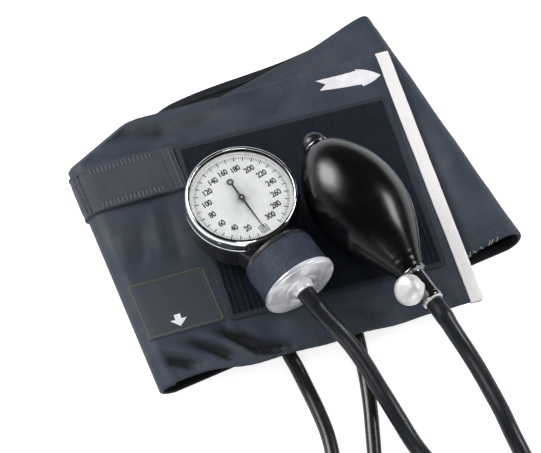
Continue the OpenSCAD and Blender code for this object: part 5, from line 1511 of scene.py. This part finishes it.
def makeIndexArrow():
    # rows from tail to tip between the two edges; the tail is notched, the flanks bow out
    s, k = np.linspace(0, 1, 26)[:, None], np.linspace(0, 1, 16)[:, None]
    w = np.linspace(-1, 1, 13)[None, :, None]

    def edge(side):
        # along the shaft, then along the head with its bow
        shaft, arrowHead, bow = (np.array(indexArrow[part + side]) for part in ("shaft", "head", "bow"))
        return np.vstack([mix(*shaft, s), mix(*arrowHead, k) + bow * np.sin(math.pi * k)])

    high, low = edge("High"), edge("Low")
    notch = np.concatenate([1 - s, 0 * k])[:, :, None] * (1 - np.abs(w)) * np.array(indexArrow["notch"])
    grid = mix(low[:, None], high[:, None], (w + 1) / 2) + notch
    base, out = onTop(grid[..., 0], grid[..., 1])
    obj = closedSkin("indexArrow", (base + out * 0.07)[:, ::-1], (base - out * 0.03)[:, ::-1],
                     smoothShade=False)
    fitOut(obj, "printWhite")


makeLabelArrow()
makeIndexArrow()

# Strap: dark seams across its ends and past the fold, satin ticks down both edges
strapRun, strapFace = lengthAlong(strapT) * 10, 1.32
seamRows = []
for at in strap["seams"]:
    seamV = np.linspace(strap["v"][0] + 0.8, strap["v"][1] - 0.8, 40)
    seamT = np.full_like(seamV, np.interp(at, strapRun, strapT))
    seamRows.append((seamT, seamV, 1.9, strapFace + float(strapRise(seamT[0], at)) - 0.34))
stitches("strapSeams", seamRows, "darkThread", (1.7, 0.8, 0.36))


def tickRow(v):
    # places each 2 mm; the lift follows the webbing's loop
    path = np.linspace(np.interp(10.5, strapRun, strapT), 1.0, 200)
    run = runOf(clothPoint(path, np.full_like(path, v)))
    t = np.interp(np.arange(1.0, run[-1], 2.0), run, path)
    return path, np.full_like(path, v), 2.0, strapFace + 0.02 + strapRise(t, np.interp(t, strapT, strapRun))


tickRows = [tickRow(strap["v"][0] + strap["tickIn"]), tickRow(strap["v"][1] - strap["tickIn"])]
stitches("strapTicks", tickRows, "tickThread", (3.4, 0.75, 0.34), across=True)
bindingPath = topPath([[76.0, -72], [78.3, 66.5]])
stitches("bindingStitches", [(*bindingPath, 2.7, 0.62)], "whiteTape", (1.9, 0.4, 0.2))

# Overlocking threads round the near edge of the right fold: arcs in the plane of v and depth
rng, arc = np.random.default_rng(11), np.linspace(-1.0, 0.75, 14) * math.pi
for number, at in enumerate((4.042, 4.061, 4.068, 4.076, 4.096, 4.112, 4.118, 4.124, 4.131), 1):
    ts = at + rng.uniform(-0.02, 0.024) * np.linspace(0, 1, len(arc))
    v = -71.5 - 0.75 * np.cos(arc) * rng.uniform(0.7, 1.2)
    depth = -0.8 + 0.95 * np.sin(arc) * rng.uniform(0.8, 1.3)
    line = rollPoint(ts, v) + rollOut(ts, np.full_like(v, -71.0)) * depth[:, None]
    fitOut(tubeAlong("overlockLoop" + str(number), line, np.full(len(line), 0.18), 8), "paleThread")
print("stage: sewing done")


# Stage: the table, the pale surroundings and the lamps
def makeStage():
    # a wide flat sheet a hair below the roll; it glows to the camera, less so in mirrors
    size, low = studio["floorSize"], studio["floorZ"]
    points = np.array([[-size, -size, low], [size, -size, low], [size, size, low], [-size, size, low]])
    floor = meshFrom("floor", points, np.array([[0, 1, 2, 3]]), smoothShade=False)
    floor.parent = None
    del floor["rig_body"]
    m = Material("tablePaper")
    path = m.add("ShaderNodeLightPath")
    direct = m.maths("MAXIMUM", path.outputs["Is Camera Ray"], path.outputs["Is Transmission Ray"])
    mirrored = m.maths("MULTIPLY", path.outputs["Is Glossy Ray"], studio["mirrorShare"])
    seen = m.maths("MAXIMUM", direct, mirrored)
    diffuse = m.add("ShaderNodeBsdfDiffuse", Color=(*studio["floorColour"], 1))
    strength = m.maths("MULTIPLY", seen, studio["floorGlow"])
    glow = m.add("ShaderNodeEmission", Color=(1, 1, 1, 1), Strength=strength)
    both = m.add("ShaderNodeAddShader")
    m.link(diffuse.outputs[0], both.inputs[0])
    m.link(glow.outputs[0], both.inputs[1])
    m.link(both.outputs[0], m.tree.nodes["Material Output"].inputs["Surface"])
    floor.data.materials.append(m.material)


def makeWorld():
    # white to the camera; in reflections white near the horizon and dim overhead, as in a light tent
    world = bpy.data.worlds.new("studio")
    bpy.context.scene.world = world
    world.use_nodes = True
    tree = world.node_tree
    tree.nodes.clear()
    add, link = tree.nodes.new, tree.links.new
    out, background = add("ShaderNodeOutputWorld"), add("ShaderNodeBackground")
    path, place, split = add("ShaderNodeLightPath"), add("ShaderNodeTexCoord"), add("ShaderNodeSeparateXYZ")
    link(place.outputs["Generated"], split.inputs[0])

    def byHeight(stops):
        # grey by the height of the direction, a little cooler than neutral
        node = add("ShaderNodeValToRGB")
        for k, (at, value) in enumerate(stops):
            stop = node.color_ramp.elements[k] if k < 2 else node.color_ramp.elements.new(at)
            stop.position, stop.color = at, (*(value * tint for tint in studio["tentTint"]), 1)
        link(split.outputs["Z"], node.inputs[0])
        return node.outputs[0]

    def towards(way, fade):
        # cosine to a direction, faded in between two values
        side, ease = add("ShaderNodeVectorMath"), add("ShaderNodeMapRange")
        side.operation, side.inputs[1].default_value = "DOT_PRODUCT", way
        ease.interpolation_type = "SMOOTHSTEP"
        ease.inputs["From Min"].default_value, ease.inputs["From Max"].default_value = fade
        link(place.outputs["Generated"], side.inputs[0])
        link(side.outputs["Value"], ease.inputs["Value"])
        return ease.outputs[0]

    def mixColour(factor, a, b, kind="MIX"):
        node = add("ShaderNodeMix")
        node.data_type, node.blend_type = "RGBA", kind
        link(factor, node.inputs[0])
        for socket, value in ((node.inputs[6], a), (node.inputs[7], b)):
            if isinstance(value, tuple):
                socket.default_value = (*value, 1)
            else:
                link(value, socket)
        return node.outputs[2]

    # in reflections: the tent's bright wall on one side, a soft window beside the key lamp
    lit = mixColour(towards(studio["tentSide"], studio["tentFade"]), byHeight(studio["reflectionRamp"]),
                    byHeight(studio["tentRamp"]), "ADD")
    window = (studio["windowGlow"],) * 3
    lit = mixColour(towards(studio["windowSide"], studio["windowFade"]), lit, window, "ADD")
    sky = mixColour(towards(studio["skySide"], studio["skyFade"]), studio["skyLow"], studio["skyHigh"])
    unseen = mixColour(path.outputs["Is Glossy Ray"], sky, lit)
    seen = add("ShaderNodeMath")
    seen.operation = "MAXIMUM"
    link(path.outputs["Is Camera Ray"], seen.inputs[0])
    link(path.outputs["Is Transmission Ray"], seen.inputs[1])
    link(mixColour(seen.outputs[0], unseen, (1.0, 1.0, 1.0)), background.inputs["Color"])
    link(background.outputs[0], out.inputs["Surface"])


def addLamp(name, place, aim, size, power):
    # an area lamp at place, turned to aim, both in mm from the middle of the roll
    lamp = bpy.data.lights.new(name, "AREA")
    lamp.shape, lamp.size, lamp.size_y = "RECTANGLE", size[0] * mm, size[1] * mm
    lamp.energy = power
    place = np.array(place, float)
    back = unit(place - np.array(aim, float))
    facing(name, lamp, place + rollShift, back, unit(np.cross([0.0, 0.0, 1.0], back)))


makeStage()
makeWorld()
for lampName, lampValues in studio["lamps"].items():
    addLamp(lampName, **lampValues)
bpy.context.scene.view_settings.view_transform = "Standard"
print("stage: studio set")
